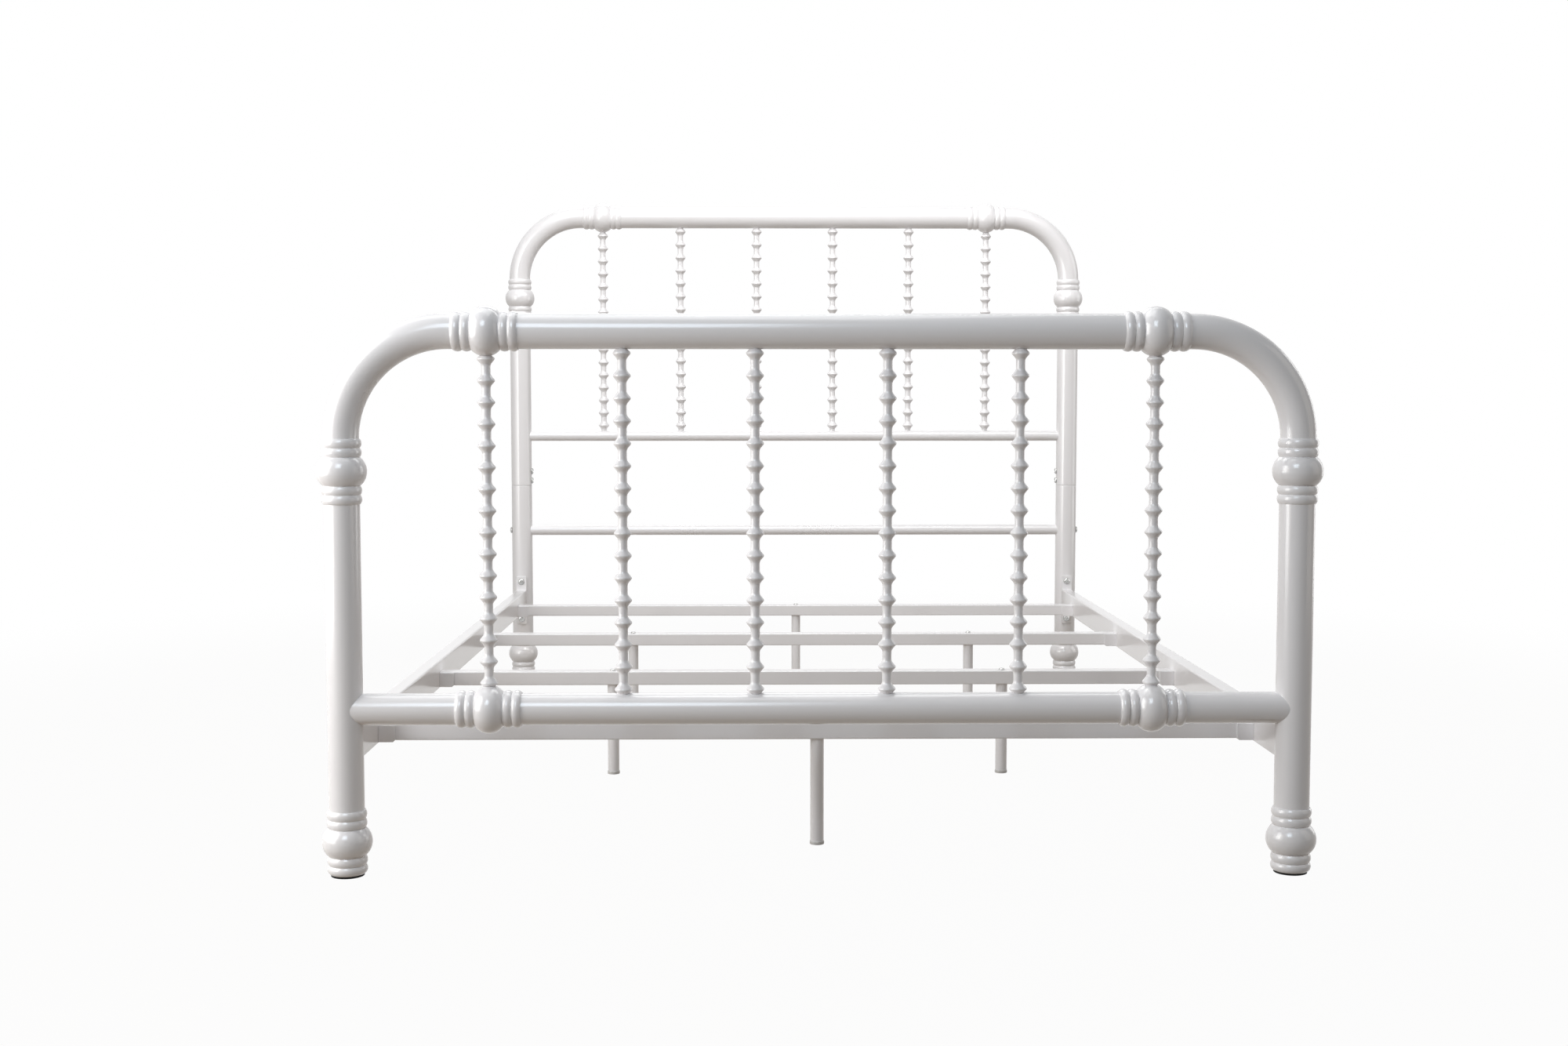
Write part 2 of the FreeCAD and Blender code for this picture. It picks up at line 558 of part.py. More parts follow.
# ---------------------------------------------------------------- support legs
def support_legs():
    """Round tube from its cap up to the underside of a slat."""
    nodes = {}
    for number, (x, y, slat_index) in enumerate(leg_places(), start=1):
        start = Vector(x, y, CAP_FLOOR)
        nodes["support_leg_%d" % number] = tube(start, Z_AXIS, SLAT_BOTTOM - CAP_FLOOR, LEG_D, LEG_WALL)
    return nodes


def support_leg_caps():
    """Plastic cap on the lower end of each support leg: a cup around it and a stem inside it."""
    cup = rod(Vector(0, 0, 0), Z_AXIS, CAP_HEIGHT, CAP_D)
    cup = cup.makeFillet(CAP_FLOOR / 2, [edge for edge in cup.Edges if edge.BoundBox.ZMax < CAP_FLOOR / 2])
    cup = cup.cut(rod(Vector(0, 0, CAP_FLOOR), Z_AXIS, CAP_HEIGHT, LEG_D + 2 * SLIDE_GAP))
    stem = rod(Vector(0, 0, CAP_FLOOR / 2), Z_AXIS, CAP_STEM_LENGTH, LEG_BORE_D - 2 * SLIDE_GAP)
    cap = cup.fuse(stem)
    return [placed(cap, Vector(x, y, 0)) for x, y, slat_index in leg_places()]


# ---------------------------------------------------------------- fasteners
def bolt(seat, outward, reach, shank_d, head_d, head_height, crown_d, socket):
    """Button-head bolt: its head stands outward from the seat and its shank reaches the other way."""
    shank_r = shank_d / 2
    rim = Vector(head_d / 2, 0, FLANGE_THICKNESS)
    crown = Vector(crown_d / 2, 0, head_height)
    bulge = (rim + crown) * 0.5 + Vector(crown.z - rim.z, 0, rim.x - crown.x) * DOME_RISE
    corners = [Vector(0, 0, -reach), Vector(shank_r, 0, -reach), Vector(shank_r, 0, 0),
               Vector(head_d / 2, 0, 0), rim]
    edges = [line(start, end) for start, end in zip(corners, corners[1:])]
    edges.append(arc(rim, bulge, crown))
    edges.append(line(crown, Vector(0, 0, head_height)))
    edges.append(line(Vector(0, 0, head_height), corners[0]))
    corner_r = socket / math.sqrt(3)
    angles = [math.radians(60 * k) for k in range(7)]
    floor_z = head_height - SOCKET_DEPTH
    hexagon = Part.makePolygon([Vector(corner_r * math.cos(angle), corner_r * math.sin(angle), floor_z)
                                for angle in angles])
    recess = Part.Face(hexagon).extrude(Vector(0, 0, head_height))
    return placed(turned(edges).cut(recess), seat, outward)


def frame_bolt(seat, outward, reach):
    """Bolt of the size that holds the frame together."""
    return bolt(seat, outward, reach, BOLT_D, BOLT_HEAD_D, BOLT_HEAD_HEIGHT, BOLT_CROWN_D, BOLT_SOCKET)


def leg_bolt(seat, outward, reach):
    """Bolt of the size that holds a support leg."""
    return bolt(seat, outward, reach, LEG_BOLT_D, LEG_BOLT_HEAD_D, LEG_BOLT_HEAD_HEIGHT, LEG_BOLT_CROWN_D,
                LEG_BOLT_SOCKET)


def rail_bolts():
    """Two bolts through each end plate into the post's threaded inserts."""
    solids = []
    for y, inward in ENDS:
        seat_y = y + inward * (TUBE_R + PLATE_THICKNESS)
        for name, side in SIDES:
            solids += [frame_bolt(Vector(side * POST_X, seat_y, z), Vector(0, inward, 0),
                                  PLATE_THICKNESS + BOLT_PAST_WALL) for z in PLATE_BOLT_Z]
    return solids


def headboard_bolts():
    """Two bolts above each seam, and one through each leg into the lower cross rail."""
    through_seam = FRAME_TUBE_WALL + SLIDE_GAP + SLEEVE_WALL + BOLT_PAST_WALL
    solids = []
    for name, side in SIDES:
        inner_x = side * (POST_X - TUBE_R)
        outer_x = side * (POST_X + TUBE_R)
        solids += [frame_bolt(Vector(inner_x, HEAD_Y, z), Vector(-side, 0, 0), through_seam)
                   for z in SEAM_BOLT_Z]
        solids.append(frame_bolt(Vector(outer_x, HEAD_Y, HEAD_LOWER_RAIL_HEIGHT), Vector(side, 0, 0),
                                 FRAME_TUBE_D + WELD_GAP + BOLT_PAST_WALL + CROSS_PLUG_LENGTH / 2))
    return solids


def support_leg_bolts():
    """Bolt down through a slat into the plug of its leg."""
    reach = SLAT_HEIGHT + BOLT_PAST_WALL
    return [leg_bolt(Vector(x, y, SLAT_TOP), Z_AXIS, reach) for x, y, slat_index in leg_places()]


def threaded_inserts():
    """Threaded inserts in the posts, and threaded plugs in the lower cross rail and the support legs."""
    thread_d = BOLT_D + 2 * THREAD_GAP
    solids = []
    for y, inward in ENDS:
        face_y = y + inward * TUBE_R
        for name, side in SIDES:
            solids += [tube(Vector(side * POST_X, face_y, z), Vector(0, -inward, 0), INSERT_LENGTH,
                            INSERT_D, (INSERT_D - thread_d) / 2) for z in PLATE_BOLT_Z]
    plug_d = HEAD_CROSS_RAIL_D - 2 * HEAD_CROSS_RAIL_WALL - 2 * SLIDE_GAP
    for name, side in SIDES:
        start = Vector(side * (POST_X - TUBE_R - WELD_GAP), HEAD_Y, HEAD_LOWER_RAIL_HEIGHT)
        solids.append(tube(start, Vector(-side, 0, 0), CROSS_PLUG_LENGTH, plug_d, (plug_d - thread_d) / 2))
    leg_plug_d = LEG_BORE_D - 2 * SLIDE_GAP
    leg_thread_d = LEG_BOLT_D + 2 * THREAD_GAP
    for x, y, slat_index in leg_places():
        solids.append(tube(Vector(x, y, SLAT_BOTTOM), Vector(0, 0, -1), LEG_PLUG_LENGTH, leg_plug_d,
                           (leg_plug_d - leg_thread_d) / 2))
    return solids


def build():
    """Every node of the bed by name."""
    nodes = {}
    for group in (footboard_tubes, headboard_tubes, collars, footboard_spindles, headboard_spindles,
                  side_rails, slats, support_legs):
        nodes.update(group())
    nodes["foot_glides"] = Part.Compound(foot_glides())
    nodes["tube_joiners"] = Part.Compound(tube_joiners())
    nodes["rail_end_plates"] = Part.Compound(end_plates())
    nodes["slat_end_holders"] = Part.Compound(slat_holders())
    nodes["support_leg_caps"] = Part.Compound(support_leg_caps())
    nodes["rail_bolts"] = Part.Compound(rail_bolts())
    nodes["headboard_bolts"] = Part.Compound(headboard_bolts())
    nodes["support_leg_bolts"] = Part.Compound(support_leg_bolts())
    nodes["threaded_inserts"] = Part.Compound(threaded_inserts())
    return nodes


def main():
    os.makedirs("parts", exist_ok=True)
    nodes = build()
    for name, shape in nodes.items():
        shape.exportStep("parts/%s.step" % name)
        print("%-32s %2d solids  %10.0f mm3  valid %s"
              % (name, len(shape.Solids), shape.Volume, shape.isValid()))
    print(len(nodes), "nodes")


main()
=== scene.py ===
import logging
import math
from dataclasses import dataclass
from enum import Enum
from typing import NamedTuple, Sequence

import bpy
import numpy as np
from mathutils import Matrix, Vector


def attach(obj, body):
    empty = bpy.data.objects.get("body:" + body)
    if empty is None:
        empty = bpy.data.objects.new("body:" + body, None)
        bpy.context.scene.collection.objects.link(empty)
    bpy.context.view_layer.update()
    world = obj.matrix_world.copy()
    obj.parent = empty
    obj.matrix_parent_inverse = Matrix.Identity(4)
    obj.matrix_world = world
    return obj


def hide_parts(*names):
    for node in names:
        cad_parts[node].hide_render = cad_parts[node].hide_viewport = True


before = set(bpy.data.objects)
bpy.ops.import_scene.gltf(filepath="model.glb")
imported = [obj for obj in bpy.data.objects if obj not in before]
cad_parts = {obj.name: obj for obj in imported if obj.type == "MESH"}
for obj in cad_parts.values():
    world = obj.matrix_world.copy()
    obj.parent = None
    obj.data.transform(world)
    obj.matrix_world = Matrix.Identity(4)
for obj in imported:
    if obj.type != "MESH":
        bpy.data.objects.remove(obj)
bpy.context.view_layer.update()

LOG = logging.getLogger("spindle_bed")

# All forms are worked out in mm in the bed's own frame and put into the meshes in metres.
MM = 0.001
SHARP_EDGE = math.radians(38)
BEVELLED_EDGE = math.radians(35)
# Share of its radius that a quarter round's middle lies in from the flats on both sides of it.
ROUND_IN = 0.293
# Distance from a rounded edge to the row that keeps the shading of the wall beside it straight.
SUPPORT = 3
# Least radius of a section's corners, where a wall or a bevel takes from the outer radius.
LEAST_CORNER = 0.2
Triple = tuple[float, float, float]
Tree = bpy.types.NodeTree
Node = bpy.types.Node


# ---- surfaces
class Axis(Enum):
    """Direction that a form made along Z is turned to, as the order in which it takes up x, y and z."""

    X = (2, 0, 1)
    Y = (1, 2, 0)
    Z = (0, 1, 2)


class Ends(Enum):
    """How the rows of a surface close: in one point at each end, or by the last row joining the first."""

    POLES = "poles"
    LOOP = "loop"


@dataclass
class Surface:
    """Closed surface as a grid of points in mm, with rows along the form and columns around it."""

    points: np.ndarray
    ends: Ends = Ends.POLES

    def moved(self, x: float = 0.0, y: float = 0.0, z: float = 0.0) -> "Surface":
        """The same surface shifted by x, y and z."""
        return Surface(self.points + np.array([x, y, z]), self.ends)

    def along(self, axis: Axis, way: int = 1) -> "Surface":
        """The surface turned so that its own +Z points along an axis.

        Args:
            axis: The axis it then runs along.
            way: 1 for the axis's positive direction, or -1 for the negative one, by half a turn about
                the form's own y.

        Returns:
            The turned surface.
        """
        turned_over = self.points * np.array([way, 1, way])
        return Surface(turned_over[..., list(axis.value)], self.ends)

    def cells(self) -> tuple[np.ndarray, np.ndarray, np.ndarray]:
        """Vertices and faces of the grid.

        A pole's row counts as one vertex with a fan of triangles. The sum of a . (b x c) over all
        triangles is six times the enclosed volume. Where it is negative, the faces are turned round.

        Returns:
            Vertices, quads and triangles.
        """
        rows, columns = self.points.shape[:2]
        here = np.arange(columns)
        beside = (here + 1) % columns
        if self.ends is Ends.LOOP:
            vertices = self.points.reshape(-1, 3)
            low = np.arange(rows)[:, None]
            high = (low + 1) % rows
            first = 0
            triangles = np.empty((0, 3), dtype=np.int64)
        else:
            vertices = np.concatenate([self.points[0, :1], self.points[1:-1].reshape(-1, 3),
                                       self.points[-1, :1]])
            low = np.arange(rows - 3)[:, None]
            high = low + 1
            first = 1
            last = len(vertices) - 1
            top = last - columns
            triangles = np.concatenate([
                np.stack([0 * here, 1 + beside, 1 + here], axis=-1),
                np.stack([0 * here + last, top + here, top + beside], axis=-1)])
        quads = first + np.stack([low * columns + here, low * columns + beside,
                                  high * columns + beside, high * columns + here], axis=-1).reshape(-1, 4)
        halves = np.concatenate([quads[:, [0, 1, 2]], quads[:, [0, 2, 3]], triangles])
        a, b, c = (vertices[halves[:, k]] for k in range(3))
        if np.einsum("ij,ij->", a, np.cross(b, c)) < 0:
            quads, triangles = quads[:, ::-1], triangles[:, ::-1]
        return vertices, quads, triangles


def circle_arc(start: Sequence[float], middle: Sequence[float], end: Sequence[float],
               steps: int) -> np.ndarray:
    """Points on the circle through three points, evenly spaced from the first to the last.

    The centre c solves 2 (b - a) . c = b.b - a.a and 2 (e - a) . c = e.e - a.a.

    Args:
        start: First point.
        middle: Point the arc passes through.
        end: Last point.
        steps: How many points.

    Returns:
        The points, one per row.
    """
    marks = np.array([start, middle, end], dtype=float)
    squares = np.sum(marks * marks, axis=1)
    centre = np.linalg.solve(2 * (marks[1:] - marks[0]), squares[1:] - squares[0])
    reach = marks - centre
    angles = np.unwrap(np.arctan2(reach[:, 1], reach[:, 0]))
    sweep = np.linspace(angles[0], angles[2], steps)
    return centre + np.hypot(*reach[0]) * np.stack([np.cos(sweep), np.sin(sweep)], axis=-1)


def quarter_round(radius: float, soft: float, steps: int) -> np.ndarray:
    """Outline of a rounded lower edge at height 0, from its flat end up to the wall.

    Args:
        radius: Radius of the wall.
        soft: Radius of the rounding.
        steps: How many points.

    Returns:
        Rows of (radius, height).
    """
    return circle_arc((radius - soft, 0), (radius - ROUND_IN * soft, ROUND_IN * soft), (radius, soft), steps)


def full_turn(columns: int) -> np.ndarray:
    """Angles of evenly placed columns around an axis."""
    return np.linspace(0, 2 * np.pi, columns, endpoint=False)


def turned(outline: np.ndarray, columns: int, ends: Ends = Ends.POLES) -> Surface:
    """Surface of an outline turned around Z: x = r cos a, y = r sin a, z = h.

    Args:
        outline: Rows of (radius r, height h).
        columns: Points around.
        ends: How the outline closes.

    Returns:
        The surface.
    """
    angle = full_turn(columns)
    radius, height = outline[:, :1], outline[:, 1:]
    points = [radius * np.cos(angle), radius * np.sin(angle), height + 0 * angle]
    return Surface(np.stack(points, axis=-1), ends)


def tube_end(soft: float) -> list[tuple[float, float]]:
    """Rows of a tube's end, from the wall to the end, whose outer edge may be rounded.

    Args:
        soft: Radius of the rounding, or 0 for a square end.

    Returns:
        For each row its distance from the end and what its radius lacks to the tube's.
    """
    if not soft:
        return [(0.0, 0.0)]
    return [(soft + SUPPORT, 0.0), (soft, 0.0), (ROUND_IN * soft, ROUND_IN * soft), (0.0, soft)]


def straight_tube(outer: float, bore: float, low: float, high: float, columns: int,
                  soft: float = 0.0) -> Surface:
    """Tube along Z.

    Args:
        outer: Outer radius.
        bore: Inner radius.
        low: Height of the lower end.
        high: Height of the upper end.
        columns: Points around.
        soft: Radius of the upper end's rounded outer edge.

    Returns:
        The surface.
    """
    head = [(outer - less, high - back) for back, less in tube_end(soft)]
    return turned(np.array([(outer, low), *head, (bore, high), (bore, low)]), columns, Ends.LOOP)


def rounded_section(width: float, height: float, corner: float, steps: int = 6) -> np.ndarray:
    """Rounded rectangle around the origin.

    The extra point on each flat, close to each corner, keeps the shading of the flats flat.

    Args:
        width: Size along x.
        height: Size along y.
        corner: Radius of the corners.
        steps: Points on each corner's arc.

    Returns:
        Points (x, y), one per row.
    """
    inset = min(0.4 * corner + 0.2, (min(width, height) / 2 - corner) / 2)
    centres = np.array([(1, 1), (-1, 1), (-1, -1), (1, -1)]) * (np.array([width, height]) / 2 - corner)
    quarter = np.linspace(0, np.pi / 2, steps)
    angles = quarter + np.arange(4)[:, None] * np.pi / 2
    arcs = centres[:, None] + corner * np.stack([np.cos(angles), np.sin(angles)], axis=-1)
    starts = np.stack([np.sin(angles[:, 0]), -np.cos(angles[:, 0])], axis=-1)[:, None] * inset
    finishes = np.stack([-np.sin(angles[:, -1]), np.cos(angles[:, -1])], axis=-1)[:, None] * inset
    return np.concatenate([arcs[:, :1] + starts, arcs, arcs[:, -1:] + finishes], axis=1).reshape(-1, 2)


def drawn(sections: Sequence[np.ndarray], stations: Sequence[float], ends: Ends) -> Surface:
    """Surface through sections that lie across Z.

    Args:
        sections: Points (x, y) of each section, all with the same number.
        stations: Height of each section.
        ends: How the rows close. Poles are added at the middle of the first and the last section.

    Returns:
        The surface.
    """
    stack = np.stack([np.column_stack([section, np.full(len(section), station)])
                      for section, station in zip(sections, stations)])
    if ends is Ends.POLES:
        middle = np.array([0.0, 0.0, 1.0])
        stack = np.concatenate([stack[:1] * middle, stack, stack[-1:] * middle])
    return Surface(stack, ends)


def box_tube(width: float, height: float, length: float, corner: float, wall: float) -> Surface:
    """Rectangular tube along Z, centred on it, from z = -length/2 to length/2.

    Args:
        width: Outer size along x.
        height: Outer size along y.
        length: Size along z.
        corner: Radius of the outer corners.
        wall: Thickness.

    Returns:
        The surface.
    """
    outside = rounded_section(width, height, corner)
    inside = rounded_section(width - 2 * wall, height - 2 * wall, max(corner - wall, LEAST_CORNER))
    half = length / 2
    return drawn([outside, outside, inside, inside], [-half, half, half, -half], Ends.LOOP)


def block(width: float, height: float, length: float, corner: float, bevel: float) -> Surface:
    """Solid bar along Z from z = 0, with rounded long edges and bevelled ends.

    Args:
        width: Size along x.
        height: Size along y.
        length: Size along z.
        corner: Radius of the long edges.
        bevel: Size of the bevel at each end.

    Returns:
        The surface.
    """
    full = rounded_section(width, height, corner)
    less = rounded_section(width - 2 * bevel, height - 2 * bevel, max(corner - bevel, LEAST_CORNER))
    return drawn([less, full, full, less], [0, bevel, length - bevel, length], Ends.POLES)


def make_piece(node: str, surfaces: Sequence[Surface], material: bpy.types.Material, slot: str,
               bevel: float = 0.0) -> bpy.types.Object:
    """Turns surfaces into one finished piece that stands for a CAD node.

    Args:
        node: CAD node the piece replaces.
        surfaces: Its closed surfaces.
        material: Its finish.
        slot: Name of the material slot it belongs to; not used.
        bevel: Size in mm of a bevel on the sharp edges, or 0 for none.

    Returns:
        The new object.
    """
    vertices, quads, triangles = [], [], []
    count = 0
    for surface in surfaces:
        points, fours, threes = surface.cells()
        vertices.append(points)
        quads.append(fours + count)
        triangles.append(threes + count)
        count += len(points)
    fours, threes = np.concatenate(quads), np.concatenate(triangles)
    mesh = bpy.data.meshes.new(node + "_form")
    mesh.vertices.add(count)
    mesh.vertices.foreach_set("co", (np.concatenate(vertices) * MM).astype(np.float32).ravel())
    corners = np.concatenate([fours.ravel(), threes.ravel()]).astype(np.int32)
    mesh.loops.add(len(corners))
    mesh.loops.foreach_set("vertex_index", corners)
    mesh.polygons.add(len(fours) + len(threes))
    starts = np.concatenate([np.arange(len(fours)) * 4, len(fours) * 4 + np.arange(len(threes)) * 3])
    mesh.polygons.foreach_set("loop_start", starts.astype(np.int32))
    mesh.polygons.foreach_set("use_smooth", np.ones(len(starts), dtype=bool))
    mesh.update(calc_edges=True)
    mesh.validate()
    mesh.set_sharp_from_angle(angle=SHARP_EDGE)
    mesh.materials.append(material)
    piece = bpy.data.objects.new(node + "_finished", mesh)
    bpy.context.scene.collection.objects.link(piece)
    if bevel:
        edges = piece.modifiers.new("soft_edges", "BEVEL")
        edges.width = bevel * MM
        edges.segments = 2
        edges.limit_method = "ANGLE"
        edges.angle_limit = BEVELLED_EDGE
        edges.harden_normals = True
    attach(piece, "root")
    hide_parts(node)
    LOG.info("%s: %d faces", piece.name, len(starts))
    return piece


# ---- shader groups
COLOR, NUMBER = "NodeSocketColor", "NodeSocketFloat"
PLAIN_WHITE = (1.0, 1.0, 1.0, 1.0)


def new_group(name: str, inputs: Sequence[tuple[str, str]], outputs: Sequence[tuple[str, str]]
              ) -> tuple[Tree, Node, Node]:
    """Empty shader node group with its sockets.

    Args:
        name: Name of the group.
        inputs: Name and socket type of each input.
        outputs: Name and socket type of each output.

    Returns:
        The group, its input node and its output node.
    """
    group = bpy.data.node_groups.new(name, "ShaderNodeTree")
    for label, kind in inputs:
        group.interface.new_socket(name=label, in_out="INPUT", socket_type=kind)
    for label, kind in outputs:
        group.interface.new_socket(name=label, in_out="OUTPUT", socket_type=kind)
    return group, group.nodes.new("NodeGroupInput"), group.nodes.new("NodeGroupOutput")


def add_node(tree: Tree, kind: str, values: dict[str, object] | None = None, **settings: object) -> Node:
    """Adds a shader node to a tree.

    Args:
        tree: The tree.
        kind: The node's type name after ShaderNode.
        values: Values of inputs by name.
        **settings: Attributes, which are set first because some of them change the inputs.

    Returns:
        The node.
    """
    node = tree.nodes.new("ShaderNode" + kind)
    for label, value in settings.items():
        setattr(node, label, value)
    for label, value in (values or {}).items():
        node.inputs[label].default_value = value
    return node


def wire(tree: Tree, *links: tuple) -> None:
    """Links nodes of a tree.

    Args:
        tree: The tree.
        *links: For each link the first node, its output, the second node and its input.
    """
    for source, output, target, entry in links:
        tree.links.new(source.outputs[output], target.inputs[entry])


def object_noise(tree: Tree, detail: float, roughness: float) -> Node:
    """Noise on the piece's own Object coordinates.

    Args:
        tree: Node tree it is made in.
        detail: Number of finer octaves.
        roughness: Weight of the finer octaves.

    Returns:
        The noise node, with its Scale still free.
    """
    noise = add_node(tree, "TexNoise", {"Detail": detail, "Roughness": roughness})
    wire(tree, (add_node(tree, "TexCoord"), "Object", noise, "Vector"))
    return noise


def value_range(tree: Tree, low: float, high: float) -> Node:
    """Map Range node from low..high to 0..1, clamped and eased."""
    return add_node(tree, "MapRange", {"From Min": low, "From Max": high}, interpolation_type="SMOOTHSTEP")


def make_tone_drift() -> Tree:
    """Group for a colour that drifts between two close tones over a piece.

    Returns:
        The group, with inputs First, Second and Scale and outputs Color and Mask.
    """
    group, given, made = new_group("tone_drift", [("First", COLOR), ("Second", COLOR), ("Scale", NUMBER)],
                                   [("Color", COLOR), ("Mask", NUMBER)])
    noise = object_noise(group, detail=3.0, roughness=0.55)
    spread = value_range(group, low=0.32, high=0.68)
    blend = add_node(group, "Mix", data_type="RGBA")
    wire(group, (given, "Scale", noise, "Scale"), (noise, "Fac", spread, "Value"),
         (spread, "Result", blend, "Factor"), (given, "First", blend, "A"), (given, "Second", blend, "B"),
         (blend, "Result", made, "Color"), (spread, "Result", made, "Mask"))
    return group


def make_fine_grain() -> Tree:
    """Group for the fine relief of a surface, such as a powder coat's orange peel.

    Returns:
        The group, with input Scale and output Height.
    """
    group, given, made = new_group("fine_grain", [("Scale", NUMBER)], [("Height", NUMBER)])
    noise = object_noise(group, detail=2.0, roughness=0.5)
    wire(group, (given, "Scale", noise, "Scale"), (noise, "Fac", made, "Height"))
    return group


def make_settled_dust() -> Tree:
    """Group for a film that settles on what faces up: the normal's upward part times a patchy noise.

    Returns:
        The group, with input Scale and output Mask.
    """
    group, given, made = new_group("settled_dust", [("Scale", NUMBER)], [("Mask", NUMBER)])
    noise = object_noise(group, detail=4.0, roughness=0.6)
    patches = value_range(group, low=0.4, high=0.75)
    surface, split = add_node(group, "NewGeometry"), add_node(group, "SeparateXYZ")
    upward = value_range(group, low=0.35, high=1.0)
    both = add_node(group, "Math", operation="MULTIPLY")
    wire(group, (given, "Scale", noise, "Scale"), (noise, "Fac", patches, "Value"),
         (surface, "Normal", split, "Vector"), (split, "Z", upward, "Value"),
         (patches, "Result", both, 0), (upward, "Result", both, 1), (both, "Value", made, "Mask"))
    return group


@dataclass(frozen=True)
class Effects:
    """The node groups that the finishes share."""

    tone_drift: Tree
    fine_grain: Tree
    settled_dust: Tree

    @staticmethod
    def make() -> "Effects":
        """Builds each group once."""
        return Effects(make_tone_drift(), make_fine_grain(), make_settled_dust())


# ---- finishes
class Coat(NamedTuple):
    """A material and the name of its material slot."""

    material: bpy.types.Material
    slot: str


@dataclass(frozen=True)
class Finish:
    """A surface finish: its two close tones, its gloss and how it varies, and its fine relief."""

    name: str
    slot: str
    tone: Triple
    second_tone: Triple
    drift_scale: float
    metallic: float
    gloss: tuple[float, float]
    grain_scale: float
    grain_depth: float
    dust: float = 0.0
    dust_tone: Triple = (0.6, 0.58, 0.54)
    dust_fineness: float = 2.3
    specular: float = 0.5

    def make(self, effects: Effects) -> Coat:
        """Builds the material: drifting tone under a little dust, drifting gloss and a fine bump.

        Args:
            effects: The shared node groups.

        Returns:
            The material with its slot.
        """
        material = bpy.data.materials.new(self.name)
        material.use_nodes = True
        tree = material.node_tree
        shader = tree.nodes["Principled BSDF"]
        shader.inputs["Metallic"].default_value = self.metallic
        shader.inputs["Specular IOR Level"].default_value = self.specular
        tones = {"First": (*self.tone, 1.0), "Second": (*self.second_tone, 1.0), "Scale": self.drift_scale}
        drift = add_node(tree, "Group", tones, node_tree=effects.tone_drift)
        grain = add_node(tree, "Group", {"Scale": self.grain_scale}, node_tree=effects.fine_grain)
        dust = add_node(tree, "Group", {"Scale": self.drift_scale * self.dust_fineness},
                        node_tree=effects.settled_dust)
        share = add_node(tree, "Math", operation="MULTIPLY")
        share.inputs[1].default_value = self.dust
        cover = add_node(tree, "Mix", {"B": (*self.dust_tone, 1.0)}, data_type="RGBA")
        rough = add_node(tree, "MapRange", {"To Min": self.gloss[0], "To Max": self.gloss[1]})
        bump = add_node(tree, "Bump", {"Distance": self.grain_depth * MM})
        wire(tree, (dust, "Mask", share, 0), (share, "Value", cover, "Factor"), (drift, "Color", cover, "A"),
             (cover, "Result", shader, "Base Color"), (drift, "Mask", rough, "Value"),
             (rough, "Result", shader, "Roughness"), (grain, "Height", bump, "Height"),
             (bump, "Normal", shader, "Normal"))
        return Coat(material, self.slot)


WHITE_COAT = Finish("white_powder_coat", "white_coat", tone=(0.867, 0.851, 0.858),
                    second_tone=(0.859, 0.843, 0.848), drift_scale=6.0, metallic=0.0, gloss=(0.17, 0.20),
                    grain_scale=550.0, grain_depth=0.006, dust=0.03, dust_tone=(0.78, 0.77, 0.75),
                    specular=1.0)
GLIDE_RUBBER = Finish("black_glide_rubber", "black_glide", tone=(0.010, 0.010, 0.010),
                      second_tone=(0.018, 0.018, 0.017), drift_scale=30.0, metallic=0.0,
                      gloss=(0.5, 0.65), grain_scale=1400.0, grain_depth=0.03, specular=0.15)
CAP_PLASTIC = Finish("cap_plastic", "cap_plastic", tone=(0.72, 0.71, 0.69),
                     second_tone=(0.66, 0.65, 0.63), drift_scale=25.0, metallic=0.0, gloss=(0.38, 0.5),
                     grain_scale=1200.0, grain_depth=0.02)
ZINC_PLATE = Finish("zinc_plate", "zinc_steel", tone=(0.52, 0.52, 0.51), second_tone=(0.40, 0.40, 0.39),
                    drift_scale=90.0, metallic=1.0, gloss=(0.10, 0.20), grain_scale=2600.0,
                    grain_depth=0.008)
MILL_STEEL = Finish("mill_steel", "plain_steel", tone=(0.42, 0.415, 0.41), second_tone=(0.33, 0.325, 0.32),
                    drift_scale=40.0, metallic=1.0, gloss=(0.35, 0.55), grain_scale=1800.0,
                    grain_depth=0.02)


@dataclass(frozen=True)
class Palette:
    """The bed's materials with their slots."""

    white: Coat
    glide: Coat
    cap: Coat
    zinc: Coat
    steel: Coat

    @staticmethod
    def make() -> "Palette":
        """Builds each finish once.

        Returns:
            The materials with their slots.
        """
        effects = Effects.make()
        return Palette(*(finish.make(effects)
                         for finish in (WHITE_COAT, GLIDE_RUBBER, CAP_PLASTIC, ZINC_PLATE, MILL_STEEL)))


